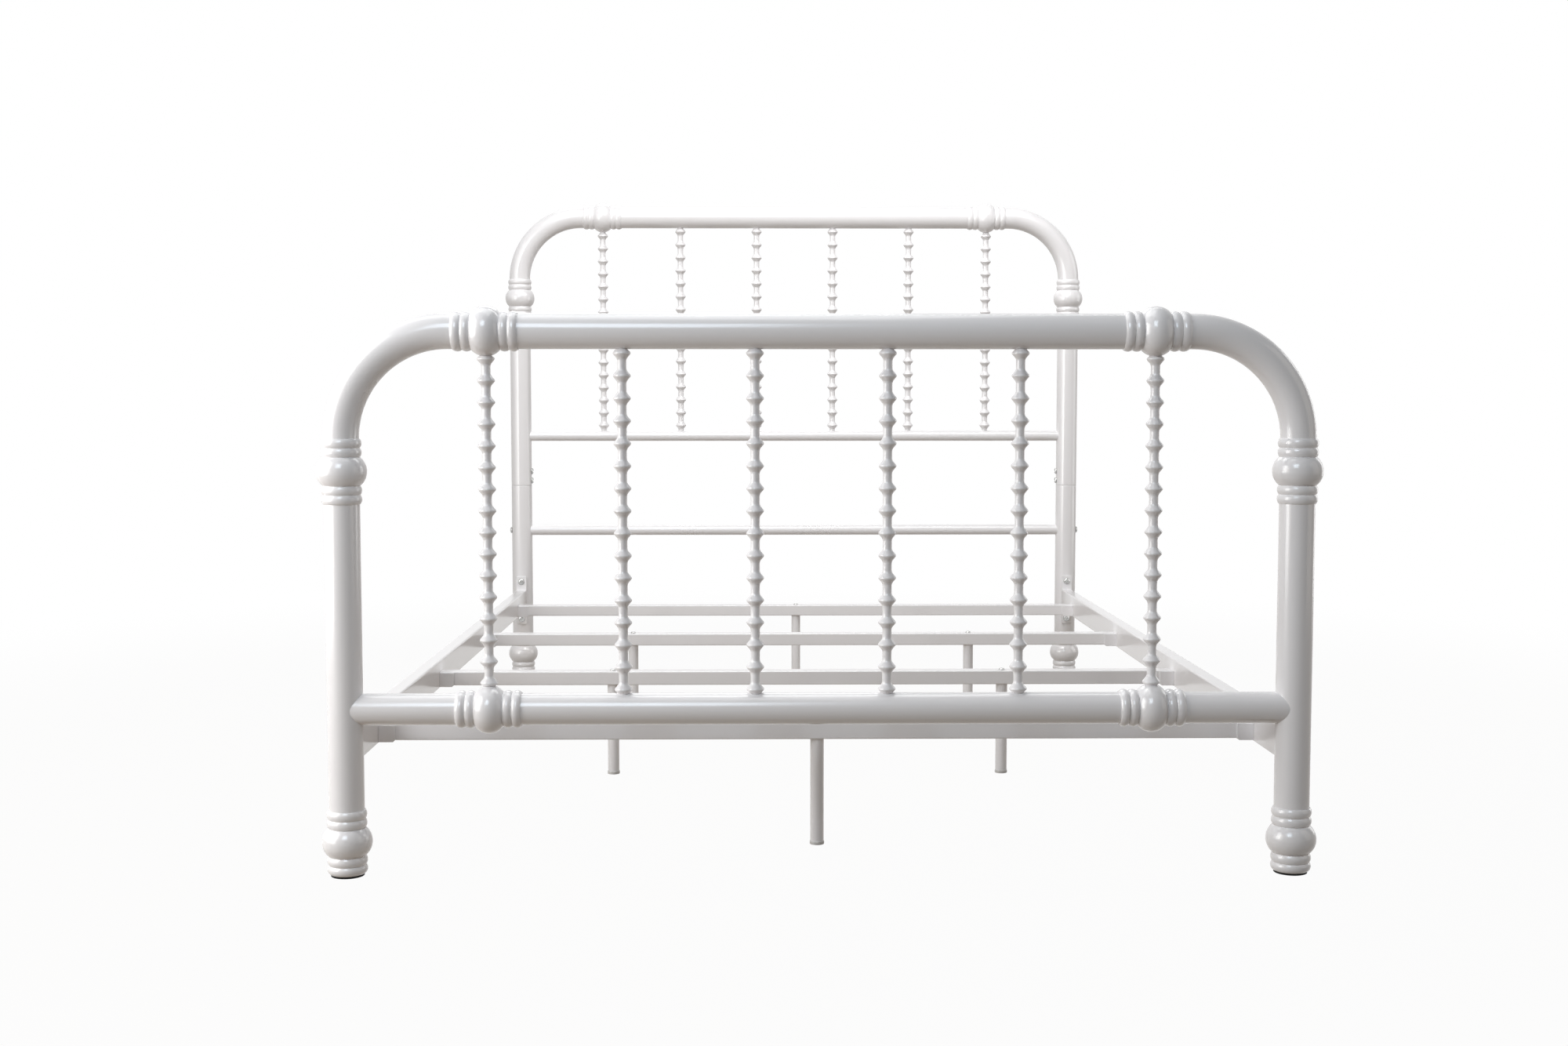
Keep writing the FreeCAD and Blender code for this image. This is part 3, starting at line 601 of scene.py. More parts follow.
# ---- shared sizes
@dataclass(frozen=True)
class Layout:
    """Sizes that the sub-assemblies share, in mm."""

    post_x: float = 686.0
    foot_y: float = -980.0
    head_y: float = 980.0
    tube_r: float = 25.4
    tube_bore_r: float = 23.9
    bend_r: float = 153.0
    outer_spindle_x: float = 478.5
    inner_pitch: float = 190.0
    weld_gap: float = 0.1
    slide_gap: float = 0.1
    rail_top: float = 211.5
    rail_width: float = 25.0
    rail_height: float = 50.0
    plate_thickness: float = 3.0
    slat_drop: float = 20.0
    slat_height: float = 25.0
    end_slat_inset: float = 149.1
    support_leg_x: float = 358.0
    seam: float = 474.0
    lower_rail: float = 361.5
    glide_height: float = 3.0

    @property
    def rail_axis_z(self) -> float:
        """Height of the side rails' middle."""
        return self.rail_top - self.rail_height / 2

    @property
    def rail_end_y(self) -> float:
        """Half the length of a side rail."""
        return self.head_y - self.tube_r - self.plate_thickness

    @property
    def rail_inner_x(self) -> float:
        """Place of a side rail's inner face."""
        return self.post_x - self.rail_width / 2

    @property
    def slat_top(self) -> float:
        """Height of the slats' upper face."""
        return self.rail_top - self.slat_drop

    @property
    def slat_bottom(self) -> float:
        """Height of the slats' lower face."""
        return self.slat_top - self.slat_height

    def slat_ys(self) -> np.ndarray:
        """Place of each slat's middle, from the foot to the head."""
        return np.linspace(-1, 1, 4) * (self.rail_end_y - self.end_slat_inset)

    def leg_places(self) -> list[tuple[float, float]]:
        """One support leg in the middle of each end slat, and a pair under each slat between them.

        Returns:
            Place (x, y) of each leg, from the foot to the head.
        """
        first, *between, last = self.slat_ys()
        pairs = [(side * self.support_leg_x, y) for y in between for side in (-1, 1)]
        return [(0.0, first), *pairs, (0.0, last)]

    def spindle_xs(self) -> list[float]:
        """Place of each spindle from left to right."""
        inner = [self.inner_pitch * k for k in (-1.5, -0.5, 0.5, 1.5)]
        return [-self.outer_spindle_x, *inner, self.outer_spindle_x]


SIDES = (("left", -1), ("right", 1))


# ---- turned parts
@dataclass(frozen=True)
class Collar:
    """Turned collar: ring, ring, ball, ring, ring over a tube."""

    ball_r: float = 36.0
    ring_r: float = 28.7
    groove_r: float = 26.4
    bore_r: float = 25.5
    ball_length: float = 41.0
    ring_width: float = 13.1
    ring_steps: int = 11
    ball_steps: int = 27
    columns: int = 112

    @property
    def half(self) -> float:
        """Half of the collar's length."""
        return self.ball_length / 2 + 2 * self.ring_width

    @property
    def ball_curve(self) -> float:
        """Radius of the ball's outline, (h h + s s) / (2 s) for half length h and rise s."""
        rise = self.ball_r - self.groove_r
        return ((self.ball_length / 2) ** 2 + rise ** 2) / (2 * rise)

    def mouldings(self, low_end_r: float) -> np.ndarray:
        """Outline of the five mouldings from the lower to the upper end, as one circle arc each.

        Args:
            low_end_r: Radius at the lower end.

        Returns:
            Rows of (radius, height).
        """
        half_ball = self.ball_length / 2
        stations = [-self.half, -self.half + self.ring_width, -half_ball, half_ball,
                    self.half - self.ring_width, self.half]
        radii = [low_end_r] + [self.groove_r] * 5
        ring, ball = (self.ring_r, self.ring_steps), (self.ball_r, self.ball_steps)
        crests, steps = zip(ring, ring, ball, ring, ring)
        arcs = [circle_arc((radii[k], stations[k]), (crests[k], (stations[k] + stations[k + 1]) / 2),
                           (radii[k + 1], stations[k + 1]), steps[k])[:-1] for k in range(5)]
        return np.concatenate(arcs + [[(self.groove_r, self.half)]])

    def surface(self) -> Surface:
        """The collar around Z, with its bore."""
        bore = [(self.bore_r, self.half), (self.bore_r, -self.half)]
        return turned(np.concatenate([self.mouldings(self.groove_r), bore]), self.columns, Ends.LOOP)

    def foot_surface(self, toe_r: float = 24.5, lip: float = 3.0, stem_hole_r: float = 15.1) -> Surface:
        """The collar at the foot of a post, rolled in below, with a lip under the tube's end.

        Args:
            toe_r: Radius at the lower edge.
            lip: Thickness of the lip.
            stem_hole_r: Radius of the hole in the lip.

        Returns:
            The surface around Z.
        """
        lip_top = lip - self.half
        inside = [(self.bore_r, self.half), (self.bore_r, lip_top), (stem_hole_r, lip_top),
                  (stem_hole_r, -self.half)]
        return turned(np.concatenate([self.mouldings(toe_r), inside]), self.columns, Ends.LOOP)


@dataclass(frozen=True)
class Seat:
    """What a spindle's end stands against: a rail that lies along X, or the ball of a collar on it."""

    height: float
    radius: float
    ball_curve: float = 0.0

    def rise(self, x: np.ndarray, y: np.ndarray, gap: float) -> np.ndarray:
        """Height of the seat's surface over its axis: sqrt(r r - y y).

        At a distance x from a ball's middle, r is less by c - sqrt(c c - x x), with c its ball_curve.

        Args:
            x: Distances along the axis from the spindle's middle.
            y: Distances across the axis.
            gap: Gap that stays between the surfaces.

        Returns:
            The heights.
        """
        radius = self.radius + gap
        if self.ball_curve:
            radius = radius - self.ball_curve + np.sqrt(self.ball_curve ** 2 - x ** 2)
        return np.sqrt(radius ** 2 - y ** 2)


@dataclass(frozen=True)
class Spindle:
    """Turned spindle: a thin round rod with a row of pointed beads."""

    beads: int = 16
    bead_r: float = 12.75
    tip_r: float = 2.8
    flank_angle: float = math.radians(40)
    fillet_r: float = 8.0
    neck_r: float = 6.6
    past_ball: float = 2.9
    past_rail: float = 2.2
    tip_steps: int = 5
    hollow_steps: int = 6
    columns: int = 48

    def half_bead(self) -> np.ndarray:
        """Outline of a bead from its middle to its neck: a round tip, a straight flank and a hollow.

        Returns:
            Rows of (radius, distance from the bead's middle).
        """
        tip = np.linspace(0, self.flank_angle, self.tip_steps)
        tip_rows = np.column_stack([self.bead_r - self.tip_r * (1 - np.cos(tip)), self.tip_r * np.sin(tip)])
        hollow = np.linspace(self.flank_angle, 0, self.hollow_steps)
        hollow_r = self.neck_r + self.fillet_r * (1 - np.cos(hollow))
        start = tip_rows[-1, 1] + (tip_rows[-1, 0] - hollow_r[0]) / math.tan(self.flank_angle)
        hollow_d = start + self.fillet_r * (math.sin(self.flank_angle) - np.sin(hollow))
        return np.concatenate([tip_rows, np.column_stack([hollow_r, hollow_d])])

    def surface(self, low: Seat, high: Seat, low_inset: float, high_inset: float, gap: float) -> Surface:
        """The spindle between two seats, coped to both.

        The beads' rows are cut off a little past each seat and closed towards the axis. Every height is
        then held between the two seats' surfaces.

        Args:
            low: Seat under the spindle.
            high: Seat over it.
            low_inset: Height of the first bead's middle over the lower seat.
            high_inset: Depth of the last bead's middle under the upper seat.
            gap: Gap that stays at each seat.

        Returns:
            The surface around Z.
        """
        half = self.half_bead()
        bead = np.concatenate([half[::-1] * (1, -1), half[1:]])
        floor, ceiling = low.height + low.radius, high.height - high.radius
        middles = np.linspace(floor + low_inset, ceiling - high_inset, self.beads)
        heights = (middles[:, None] + bead[:, 1]).ravel()
        radii = np.tile(bead[:, 0], self.beads)
        start = floor - (self.past_ball if low.ball_curve else self.past_rail)
        stop = ceiling + (self.past_ball if high.ball_curve else self.past_rail)
        inside = heights[(heights > start) & (heights < stop)]
        z = np.concatenate([[start], inside, [stop]])
        r = np.interp(z, heights, radii)
        shrink = np.array([0.0, 0.33, 0.66])
        outline = np.column_stack([np.concatenate([r[0] * shrink, r, r[-1] * shrink[::-1]]),
                                   np.concatenate([start + 0 * shrink, z, stop + 0 * shrink])])
        points = turned(outline, self.columns).points
        x, y = points[..., 0], points[..., 1]
        points[..., 2] = np.clip(points[..., 2], low.height + low.rise(x, y, gap),
                                 high.height - high.rise(x, y, gap))
        return Surface(points)


@dataclass(frozen=True)
class ButtonBolt:
    """Bolt with a domed button head and a hexagon socket."""

    shank_r: float = 4.0
    head_r: float = 8.0
    head_height: float = 4.2
    crown_r: float = 4.0
    socket: float = 5.0
    flange: float = 1.0
    dome_rise: float = 0.15
    socket_depth: float = 1.9
    shank_bevel: float = 0.6
    rim_bevel: float = 0.25
    socket_bevel: float = 0.2
    socket_flare: float = 1.06
    dome_steps: int = 9
    columns: int = 48

    def surface(self, reach: float) -> Surface:
        """The bolt around Z: head up from z = 0 and shank down to -reach.

        The socket's radius is half its width, over the cosine of the angle from the nearest flat's middle.

        Args:
            reach: Length of the shank.

        Returns:
            The surface.
        """
        rim, crown = np.array([self.head_r, self.flange]), np.array([self.crown_r, self.head_height])
        bulge = (rim + crown) / 2 + np.array([crown[1] - rim[1], rim[0] - crown[0]]) * self.dome_rise
        dome = circle_arc(rim, bulge, crown, self.dome_steps)
        shank = [(0, -reach), (self.shank_r - self.shank_bevel, -reach),
                 (self.shank_r, self.shank_bevel - reach), (self.shank_r, 0),
                 (self.head_r - self.rim_bevel, 0), (self.head_r, self.rim_bevel)]
        outline = np.concatenate([shank, dome])
        outer = turned(outline, self.columns).points
        angle = full_turn(self.columns)
        hexagon = self.socket / 2 / np.cos(np.mod(angle, np.pi / 3) - np.pi / 6)
        rows = np.array([(self.socket_flare, 0.0), (1.0, self.socket_bevel), (1.0, self.socket_depth),
                         (0.0, self.socket_depth)])
        radius = rows[:, :1] * hexagon
        depth = self.head_height - rows[:, 1:] + 0 * angle
        inner = np.stack([radius * np.cos(angle), radius * np.sin(angle), depth], axis=-1)
        return Surface(np.concatenate([outer, inner]))


# ---- boards
@dataclass
class Board:
    """What the footboard and the headboard share: a hoop of tube on two posts, filled with spindles."""

    layout: Layout
    palette: Palette
    name: str
    y: float
    top: float
    panel_drop: float = 542.5
    collar_drop: float = 199.5
    foot_lip: float = 3.0
    tube_columns: int = 96
    rail_columns: int = 80
    bend_steps: int = 49
    collar: Collar = Collar()
    spindle: Spindle = Spindle()

    def add(self, part: str, surface: Surface) -> None:
        """Makes a white piece of this board.

        Args:
            part: Name of the part within the board.
            surface: Its surface, already at its x and z, around the board's plane.
        """
        make_piece("%s_%s" % (self.name, part), [surface.moved(y=self.y)], *self.palette.white)

    def top_rail(self) -> None:
        """Straight tube between the joints under the two top collars."""
        lay = self.layout
        reach = lay.outer_spindle_x
        tube = straight_tube(lay.tube_r, lay.tube_bore_r, -reach, reach, self.tube_columns)
        self.add("top_rail", tube.along(Axis.X).moved(z=self.top))

    def corner(self, side: int, bottom: float, soft_end: float) -> Surface:
        """Tube from a top joint round the corner and down the post.

        Each point is the centre line plus r (cos b N + sin b Y), with N away from the bend's centre.

        Args:
            side: -1 for the left and 1 for the right.
            bottom: Height of the lower end.
            soft_end: Radius of the lower end's rounded edge.

        Returns:
            The surface around the board's plane.
        """
        lay = self.layout
        turn = np.linspace(0, np.pi / 2, self.bend_steps)
        across = lay.post_x - lay.bend_r + lay.bend_r * np.sin(turn)
        height = self.top - lay.bend_r + lay.bend_r * np.cos(turn)
        ends = tube_end(soft_end)
        centre = np.concatenate([[(lay.outer_spindle_x, self.top)], np.column_stack([across, height]),
                                 [(lay.post_x, bottom + up) for up, less in ends]])
        tilt = np.concatenate([[0.0], turn, [np.pi / 2] * len(ends)])
        outer = lay.tube_r - np.concatenate([np.zeros(len(turn) + 1), [less for up, less in ends]])
        bore = np.full(len(centre), lay.tube_bore_r)
        centre = np.concatenate([centre, centre[::-1]])
        tilt = np.concatenate([tilt, tilt[::-1]])
        radius = np.concatenate([outer, bore])[:, None]
        around = full_turn(self.tube_columns)
        away = radius * np.cos(around)
        x = centre[:, :1] + away * np.sin(tilt)[:, None]
        z = centre[:, 1:] + away * np.cos(tilt)[:, None]
        return Surface(np.stack([side * x, radius * np.sin(around), z], axis=-1), Ends.LOOP)

    def leg(self, side: int, top: float, soft_end: float) -> Surface:
        """Straight lower part of a post, from the foot's lip up to a joint.

        Args:
            side: -1 for the left and 1 for the right.
            top: Height of the upper end.
            soft_end: Radius of the upper end's rounded edge.

        Returns:
            The surface around the board's plane.
        """
        lay = self.layout
        low = lay.glide_height + self.foot_lip + lay.weld_gap
        tube = straight_tube(lay.tube_r, lay.tube_bore_r, low, top, self.tube_columns, soft_end)
        return tube.moved(x=side * lay.post_x)

    def cross_rail(self, part: str, height: float, outer: float, bore: float) -> None:
        """Tube between the posts, coped to them by holding |x| to post_x - sqrt(p p - y y).

        Args:
            part: Name of the part.
            height: Height of its axis.
            outer: Outer radius.
            bore: Inner radius.
        """
        lay = self.layout
        near = lay.post_x - lay.tube_r - 2 * SUPPORT
        stations = [-lay.post_x, -near, -near / 2, 0, near / 2, near, lay.post_x]
        outline = np.array([(outer, x) for x in stations] + [(bore, x) for x in stations[::-1]])
        points = turned(outline, self.rail_columns, Ends.LOOP).along(Axis.X).points
        limit = lay.post_x - np.sqrt((lay.tube_r + lay.weld_gap) ** 2 - points[..., 1] ** 2)
        points[..., 0] = np.clip(points[..., 0], -limit, limit)
        self.add(part, Surface(points, Ends.LOOP).moved(z=height))

    def collars_and_feet(self) -> None:
        """Collars over the top joints and on the posts, and the feet."""
        lay = self.layout
        collar, foot = self.collar.surface(), self.collar.foot_surface()
        for label, side in SIDES:
            x = side * lay.post_x
            over = collar.along(Axis.X).moved(x=side * lay.outer_spindle_x, z=self.top)
            self.add("top_collar_" + label, over)
            self.add("post_collar_" + label, collar.moved(x=x, z=self.top - self.collar_drop))
            self.add("foot_" + label, foot.moved(x=x, z=lay.glide_height + self.collar.half))

    def spindles(self, low: Seat, end_low: Seat, insets: tuple[float, float],
                 end_insets: tuple[float, float]) -> None:
        """The six spindles. The first and the last end under the balls of the top collars.

        Args:
            low: Seat under the four inner spindles.
            end_low: Seat under the first and the last spindle.
            insets: Distances of the inner spindles' first and last bead from their seats.
            end_insets: The same distances at the first and the last spindle.
        """
        places = self.layout.spindle_xs()
        high = Seat(self.top, self.layout.tube_r)
        end_high = Seat(self.top, self.collar.ball_r, self.collar.ball_curve)
        for number, x in enumerate(places, start=1):
            at_end = number in (1, len(places))
            seats, reach = ((end_low, end_high), end_insets) if at_end else ((low, high), insets)
            rod = self.spindle.surface(*seats, *reach, self.layout.weld_gap)
            self.add("spindle_%d" % number, rod.moved(x=x))


@dataclass
class Footboard(Board):
    """The low board at the foot of the bed."""

    name: str = "footboard"
    y: float = Layout.foot_y
    top: float = 785.0
    cross_rail_r: float = 22.85
    cross_rail_bore_r: float = 21.35
    low_collar: Collar = Collar(ball_r=35.0, ring_r=27.3, groove_r=24.4, bore_r=22.95)
    inner_inset: float = 5.5
    outer_inset: float = 3.0

    def build(self) -> None:
        """Makes all pieces of the board."""
        lay = self.layout
        joint, cross = self.top - self.collar_drop, self.top - self.panel_drop
        self.top_rail()
        self.cross_rail("cross_rail", cross, self.cross_rail_r, self.cross_rail_bore_r)
        self.collars_and_feet()
        for label, side in SIDES:
            self.add("bend_" + label, self.corner(side, joint, 0.0))
            self.add("leg_" + label, self.leg(side, joint, 0.0))
            low = self.low_collar.surface().along(Axis.X).moved(x=side * lay.outer_spindle_x, z=cross)
            self.add("rail_collar_" + label, low)
        self.spindles(Seat(cross, self.cross_rail_r),
                      Seat(cross, self.low_collar.ball_r, self.low_collar.ball_curve),
                      (self.inner_inset, self.inner_inset), (self.outer_inset, self.outer_inset))


@dataclass
class Headboard(Board):
    """The high board at the head of the bed."""

    name: str = "headboard"
    y: float = Layout.head_y
    top: float = 1141.0
    seam_edge: float = 0.7
    thin_rail_r: float = 12.7
    thin_rail_bore_r: float = 11.5
    top_inset: float = 9.0
    bottom_inset: float = 13.4

    def build(self) -> None:
        """Makes all pieces of the board."""
        lay = self.layout
        cross = self.top - self.panel_drop
        self.top_rail()
        for part, height in (("upper_cross_rail", cross), ("lower_cross_rail", lay.lower_rail)):
            self.cross_rail(part, height, self.thin_rail_r, self.thin_rail_bore_r)
        self.collars_and_feet()
        for label, side in SIDES:
            self.add("side_tube_" + label, self.corner(side, lay.seam, self.seam_edge))
            self.add("leg_" + label, self.leg(side, lay.seam, self.seam_edge))
        low, insets = Seat(cross, self.thin_rail_r), (self.bottom_inset, self.top_inset)
        self.spindles(low, low, insets, insets)


# ---- middle of the bed
@dataclass
class Deck:
    """Side rails with their end plates, and the slats with their holders and support legs."""

    layout: Layout
    palette: Palette
    rail_corner: float = 3.0
    rail_wall: float = 1.5
    plate_width: float = 26.0
    plate_height: float = 120.0
    plate_corner: float = 2.0
    plate_bevel: float = 0.5
    slat_width: float = 30.0
    slat_corner: float = 2.0
    slat_wall: float = 1.2
    slat_end_gap: float = 0.3
    holder_length: float = 26.0
    holder_wall: float = 2.5
    holder_lip: float = 1.5
    holder_chamfer: float = 3.5
    holder_side_gap: float = 0.2
    holder_bevel: float = 0.5
    holder_bend: float = 1.0
    leg_r: float = 10.5
    leg_bore_r: float = 9.3
    cap_r: float = 11.3
    cap_height: float = 5.0
    cap_floor: float = 1.6
    cap_stem: float = 14.0
    cap_bevel: float = 0.3
    leg_columns: int = 56

    def rails_and_plates(self) -> None:
        """The two side rails, and the plate between each of their ends and its post."""
        lay = self.layout
        rail = box_tube(lay.rail_width, lay.rail_height, 2 * lay.rail_end_y, self.rail_corner, self.rail_wall)
        # Along Y, a section's x and y become the bed's z and x, so it gets a quarter turn first.
        rail = Surface(rail.points[..., [1, 0, 2]] * (1, -1, 1), rail.ends).along(Axis.Y)
        for label, side in SIDES:
            place = rail.moved(x=side * lay.post_x, z=lay.rail_axis_z)
            make_piece("side_rail_" + label, [place], *self.palette.white)
        plate = block(self.plate_height, self.plate_width, lay.plate_thickness, self.plate_corner,
                      self.plate_bevel).along(Axis.Y)
        plates = [plate.moved(x=side * lay.post_x, y=low, z=lay.rail_axis_z)
                  for low in (-lay.rail_end_y - lay.plate_thickness, lay.rail_end_y) for side in (-1, 1)]
        make_piece("rail_end_plates", plates, *self.palette.white)

    def holder(self) -> Surface:
        """Channel under a slat's end, along +X from a rail's inner face.

        Its rows follow the U. Each column is a distance along the channel and a share of the way from
        the inner to the outer U. The free lower corners are cut off by holding x back near the floor.

        Returns:
            The surface, with z = 0 on the channel's floor.
        """
        inner = self.slat_width / 2 + self.holder_side_gap
        outer = inner + self.holder_wall
        top, bend = self.layout.slat_height - self.holder_lip, self.holder_bend
        inside, outside = (
            np.array([(-reach, top), (-reach, bend), (-reach, low), (reach, low), (reach, bend),
                      (reach, top)])
            for reach, low in ((inner, 0.0), (outer, -self.holder_wall)))
        share = np.array([0, 0, 1, 1])
        length = np.array([0, self.holder_length, self.holder_length, 0])
        across = inside[:, None] + share[:, None] * (outside - inside)[:, None]
        x = np.broadcast_to(length, across.shape[:2])
        cut = self.holder_length - np.clip(self.holder_chamfer - (across[..., 1] + self.holder_wall), 0, None)
        points = np.stack([np.minimum(x, cut), across[..., 0], across[..., 1]], axis=-1)
        first, last = (np.broadcast_to(row.mean(axis=1, keepdims=True), row.shape)
                       for row in (points[:1], points[-1:]))
        return Surface(np.concatenate([first, points, last]))

    def slats_and_holders(self) -> None:
        """The four slats and the holders at their ends."""
        lay = self.layout
        length = 2 * (lay.rail_inner_x - self.slat_end_gap)
        slat = box_tube(self.slat_width, lay.slat_height, length, self.slat_corner, self.slat_wall)
        slat = slat.along(Axis.X)
        holder = self.holder()
        turned_back = Surface(holder.points * (-1, -1, 1), holder.ends)
        holders = []
        for number, y in enumerate(lay.slat_ys(), start=1):
            make_piece("slat_%d" % number, [slat.moved(y=y, z=lay.slat_top - lay.slat_height / 2)],
                       *self.palette.white)
            holders += [holder.moved(-lay.rail_inner_x, y, lay.slat_bottom),
                        turned_back.moved(lay.rail_inner_x, y, lay.slat_bottom)]
        make_piece("slat_end_holders", holders, *self.palette.white, bevel=self.holder_bevel)

    def support_legs(self) -> None:
        """The six support legs and their caps."""
        lay = self.layout
        leg = straight_tube(self.leg_r, self.leg_bore_r, self.cap_floor, lay.slat_bottom, self.leg_columns)
        cup_r, soft = self.leg_r + lay.slide_gap, self.cap_floor / 2
        edge = quarter_round(self.cap_r, soft, steps=5)
        stem_r, stem_top = self.leg_bore_r - lay.slide_gap, soft + self.cap_stem
        upper = [(self.cap_r, self.cap_height - self.cap_bevel),
                 (self.cap_r - self.cap_bevel, self.cap_height), (cup_r, self.cap_height),
                 (cup_r, self.cap_floor), (stem_r, self.cap_floor), (stem_r, stem_top), (0, stem_top)]
        cap = turned(np.concatenate([[(0, 0)], edge, upper]), self.leg_columns)
        caps = []
        for number, (x, y) in enumerate(lay.leg_places(), start=1):
            make_piece("support_leg_%d" % number, [leg.moved(x, y)], *self.palette.white)
            caps.append(cap.moved(x, y))
        make_piece("support_leg_caps", caps, *self.palette.cap)

    def build(self) -> None:
        """Makes all pieces between the two boards."""
        self.rails_and_plates()
        self.slats_and_holders()
        self.support_legs()


@dataclass
class Hardware:
    """Bolts and glides, and the finish of the pieces hidden inside the tubes."""

    layout: Layout
    palette: Palette
    frame_bolt: ButtonBolt = ButtonBolt()
    leg_bolt: ButtonBolt = ButtonBolt(shank_r=3.0, head_r=5.5, head_height=3.0, crown_r=3.0, socket=4.0)
    plate_bolt_spacing: float = 93.5
    seam_bolt_first: float = 12.5
    seam_bolt_pitch: float = 23.3
    sleeve_wall: float = 2.5
    plug_depth: float = 15.0
    past_wall: float = 12.0
    glide_r: float = 24.0
    glide_edge: float = 0.5
    glide_stem_r: float = 15.0
    glide_stem: float = 18.0
    glide_columns: int = 96

    def rail_bolts(self) -> None:
        """Two bolts through each end plate into its post."""
        lay = self.layout
        bolt = self.frame_bolt.surface(lay.plate_thickness + self.past_wall)
        bolts = []
        for y, way in ((-lay.rail_end_y, 1), (lay.rail_end_y, -1)):
            facing = bolt.along(Axis.Y, way)
            bolts += [facing.moved(side * lay.post_x, y, lay.rail_axis_z + up * self.plate_bolt_spacing / 2)
                      for side in (-1, 1) for up in (-1, 1)]
        make_piece("rail_bolts", bolts, *self.palette.zinc)

    def headboard_bolts(self) -> None:
        """Two bolts above each seam, and one through each leg into the lower cross rail."""
        lay = self.layout
        tube_wall = lay.tube_r - lay.tube_bore_r
        seam_bolt = self.frame_bolt.surface(tube_wall + lay.slide_gap + self.sleeve_wall + self.past_wall)
        long_bolt = self.frame_bolt.surface(2 * lay.tube_r + lay.weld_gap + self.past_wall + self.plug_depth)
        first = lay.seam + self.seam_bolt_first
        bolts = []
        for side in (-1, 1):
            inward, outward = seam_bolt.along(Axis.X, -side), long_bolt.along(Axis.X, side)
            bolts += [inward.moved(side * (lay.post_x - lay.tube_r), lay.head_y, z)
                      for z in (first, first + self.seam_bolt_pitch)]
            bolts.append(outward.moved(side * (lay.post_x + lay.tube_r), lay.head_y, lay.lower_rail))
        make_piece("headboard_bolts", bolts, *self.palette.zinc)

    def leg_bolts(self) -> None:
        """Bolt down through a slat into each support leg."""
        lay = self.layout
        bolt = self.leg_bolt.surface(lay.slat_height + self.past_wall)
        bolts = [bolt.moved(x, y, lay.slat_top) for x, y in lay.leg_places()]
        make_piece("support_leg_bolts", bolts, *self.palette.zinc)

    def glides(self) -> None:
        """Black glide under each post, with its stem through the foot's lip."""
        lay = self.layout
        stem_top = lay.glide_height + self.glide_stem
        upper = [(self.glide_r, lay.glide_height), (self.glide_stem_r, lay.glide_height),
                 (self.glide_stem_r, stem_top), (0, stem_top)]
        outline = np.concatenate([[(0, 0)], quarter_round(self.glide_r, self.glide_edge, steps=7), upper])
        glide = turned(outline, self.glide_columns)
        glides = [glide.moved(side * lay.post_x, y)
                  for y in (lay.foot_y, lay.head_y) for side in (-1, 1)]
        make_piece("foot_glides", glides, *self.palette.glide)

    def hidden_metal(self) -> None:
        """Gives the joiners and the inserts inside the tubes their finish."""
        for node, coat in (("tube_joiners", self.palette.steel), ("threaded_inserts", self.palette.zinc)):
            for slot in bpy.data.objects[node].material_slots:
                slot.material = coat.material
            LOG.info("%s: %s", node, coat.material.name)

    def build(self) -> None:
        """Makes all hardware."""
        self.rail_bolts()
        self.headboard_bolts()
        self.leg_bolts()
        self.glides()
        self.hidden_metal()


# ---- studio
@dataclass(frozen=True)
class Softbox:
    """Rectangular lamp that points at a place, with sizes and places in metres and its power in watts."""

    name: str
    place: Triple
    target: Triple
    width: float
    height: float
    power: float
    tint: Triple = (1.0, 1.0, 1.0)

    def make(self) -> None:
        """Adds the lamp to the scene, where the camera doesn't see it."""
        data = bpy.data.lights.new(self.name, "AREA")
        data.shape = "RECTANGLE"
        data.size, data.size_y = self.width, self.height
        data.energy = self.power
        data.color = self.tint
        lamp = bpy.data.objects.new(self.name, data)
        lamp.location = self.place
        aim = Vector(self.target) - Vector(self.place)
        lamp.rotation_euler = aim.to_track_quat("-Z", "Y").to_euler()
        lamp.visible_camera = False
        bpy.context.scene.collection.objects.link(lamp)


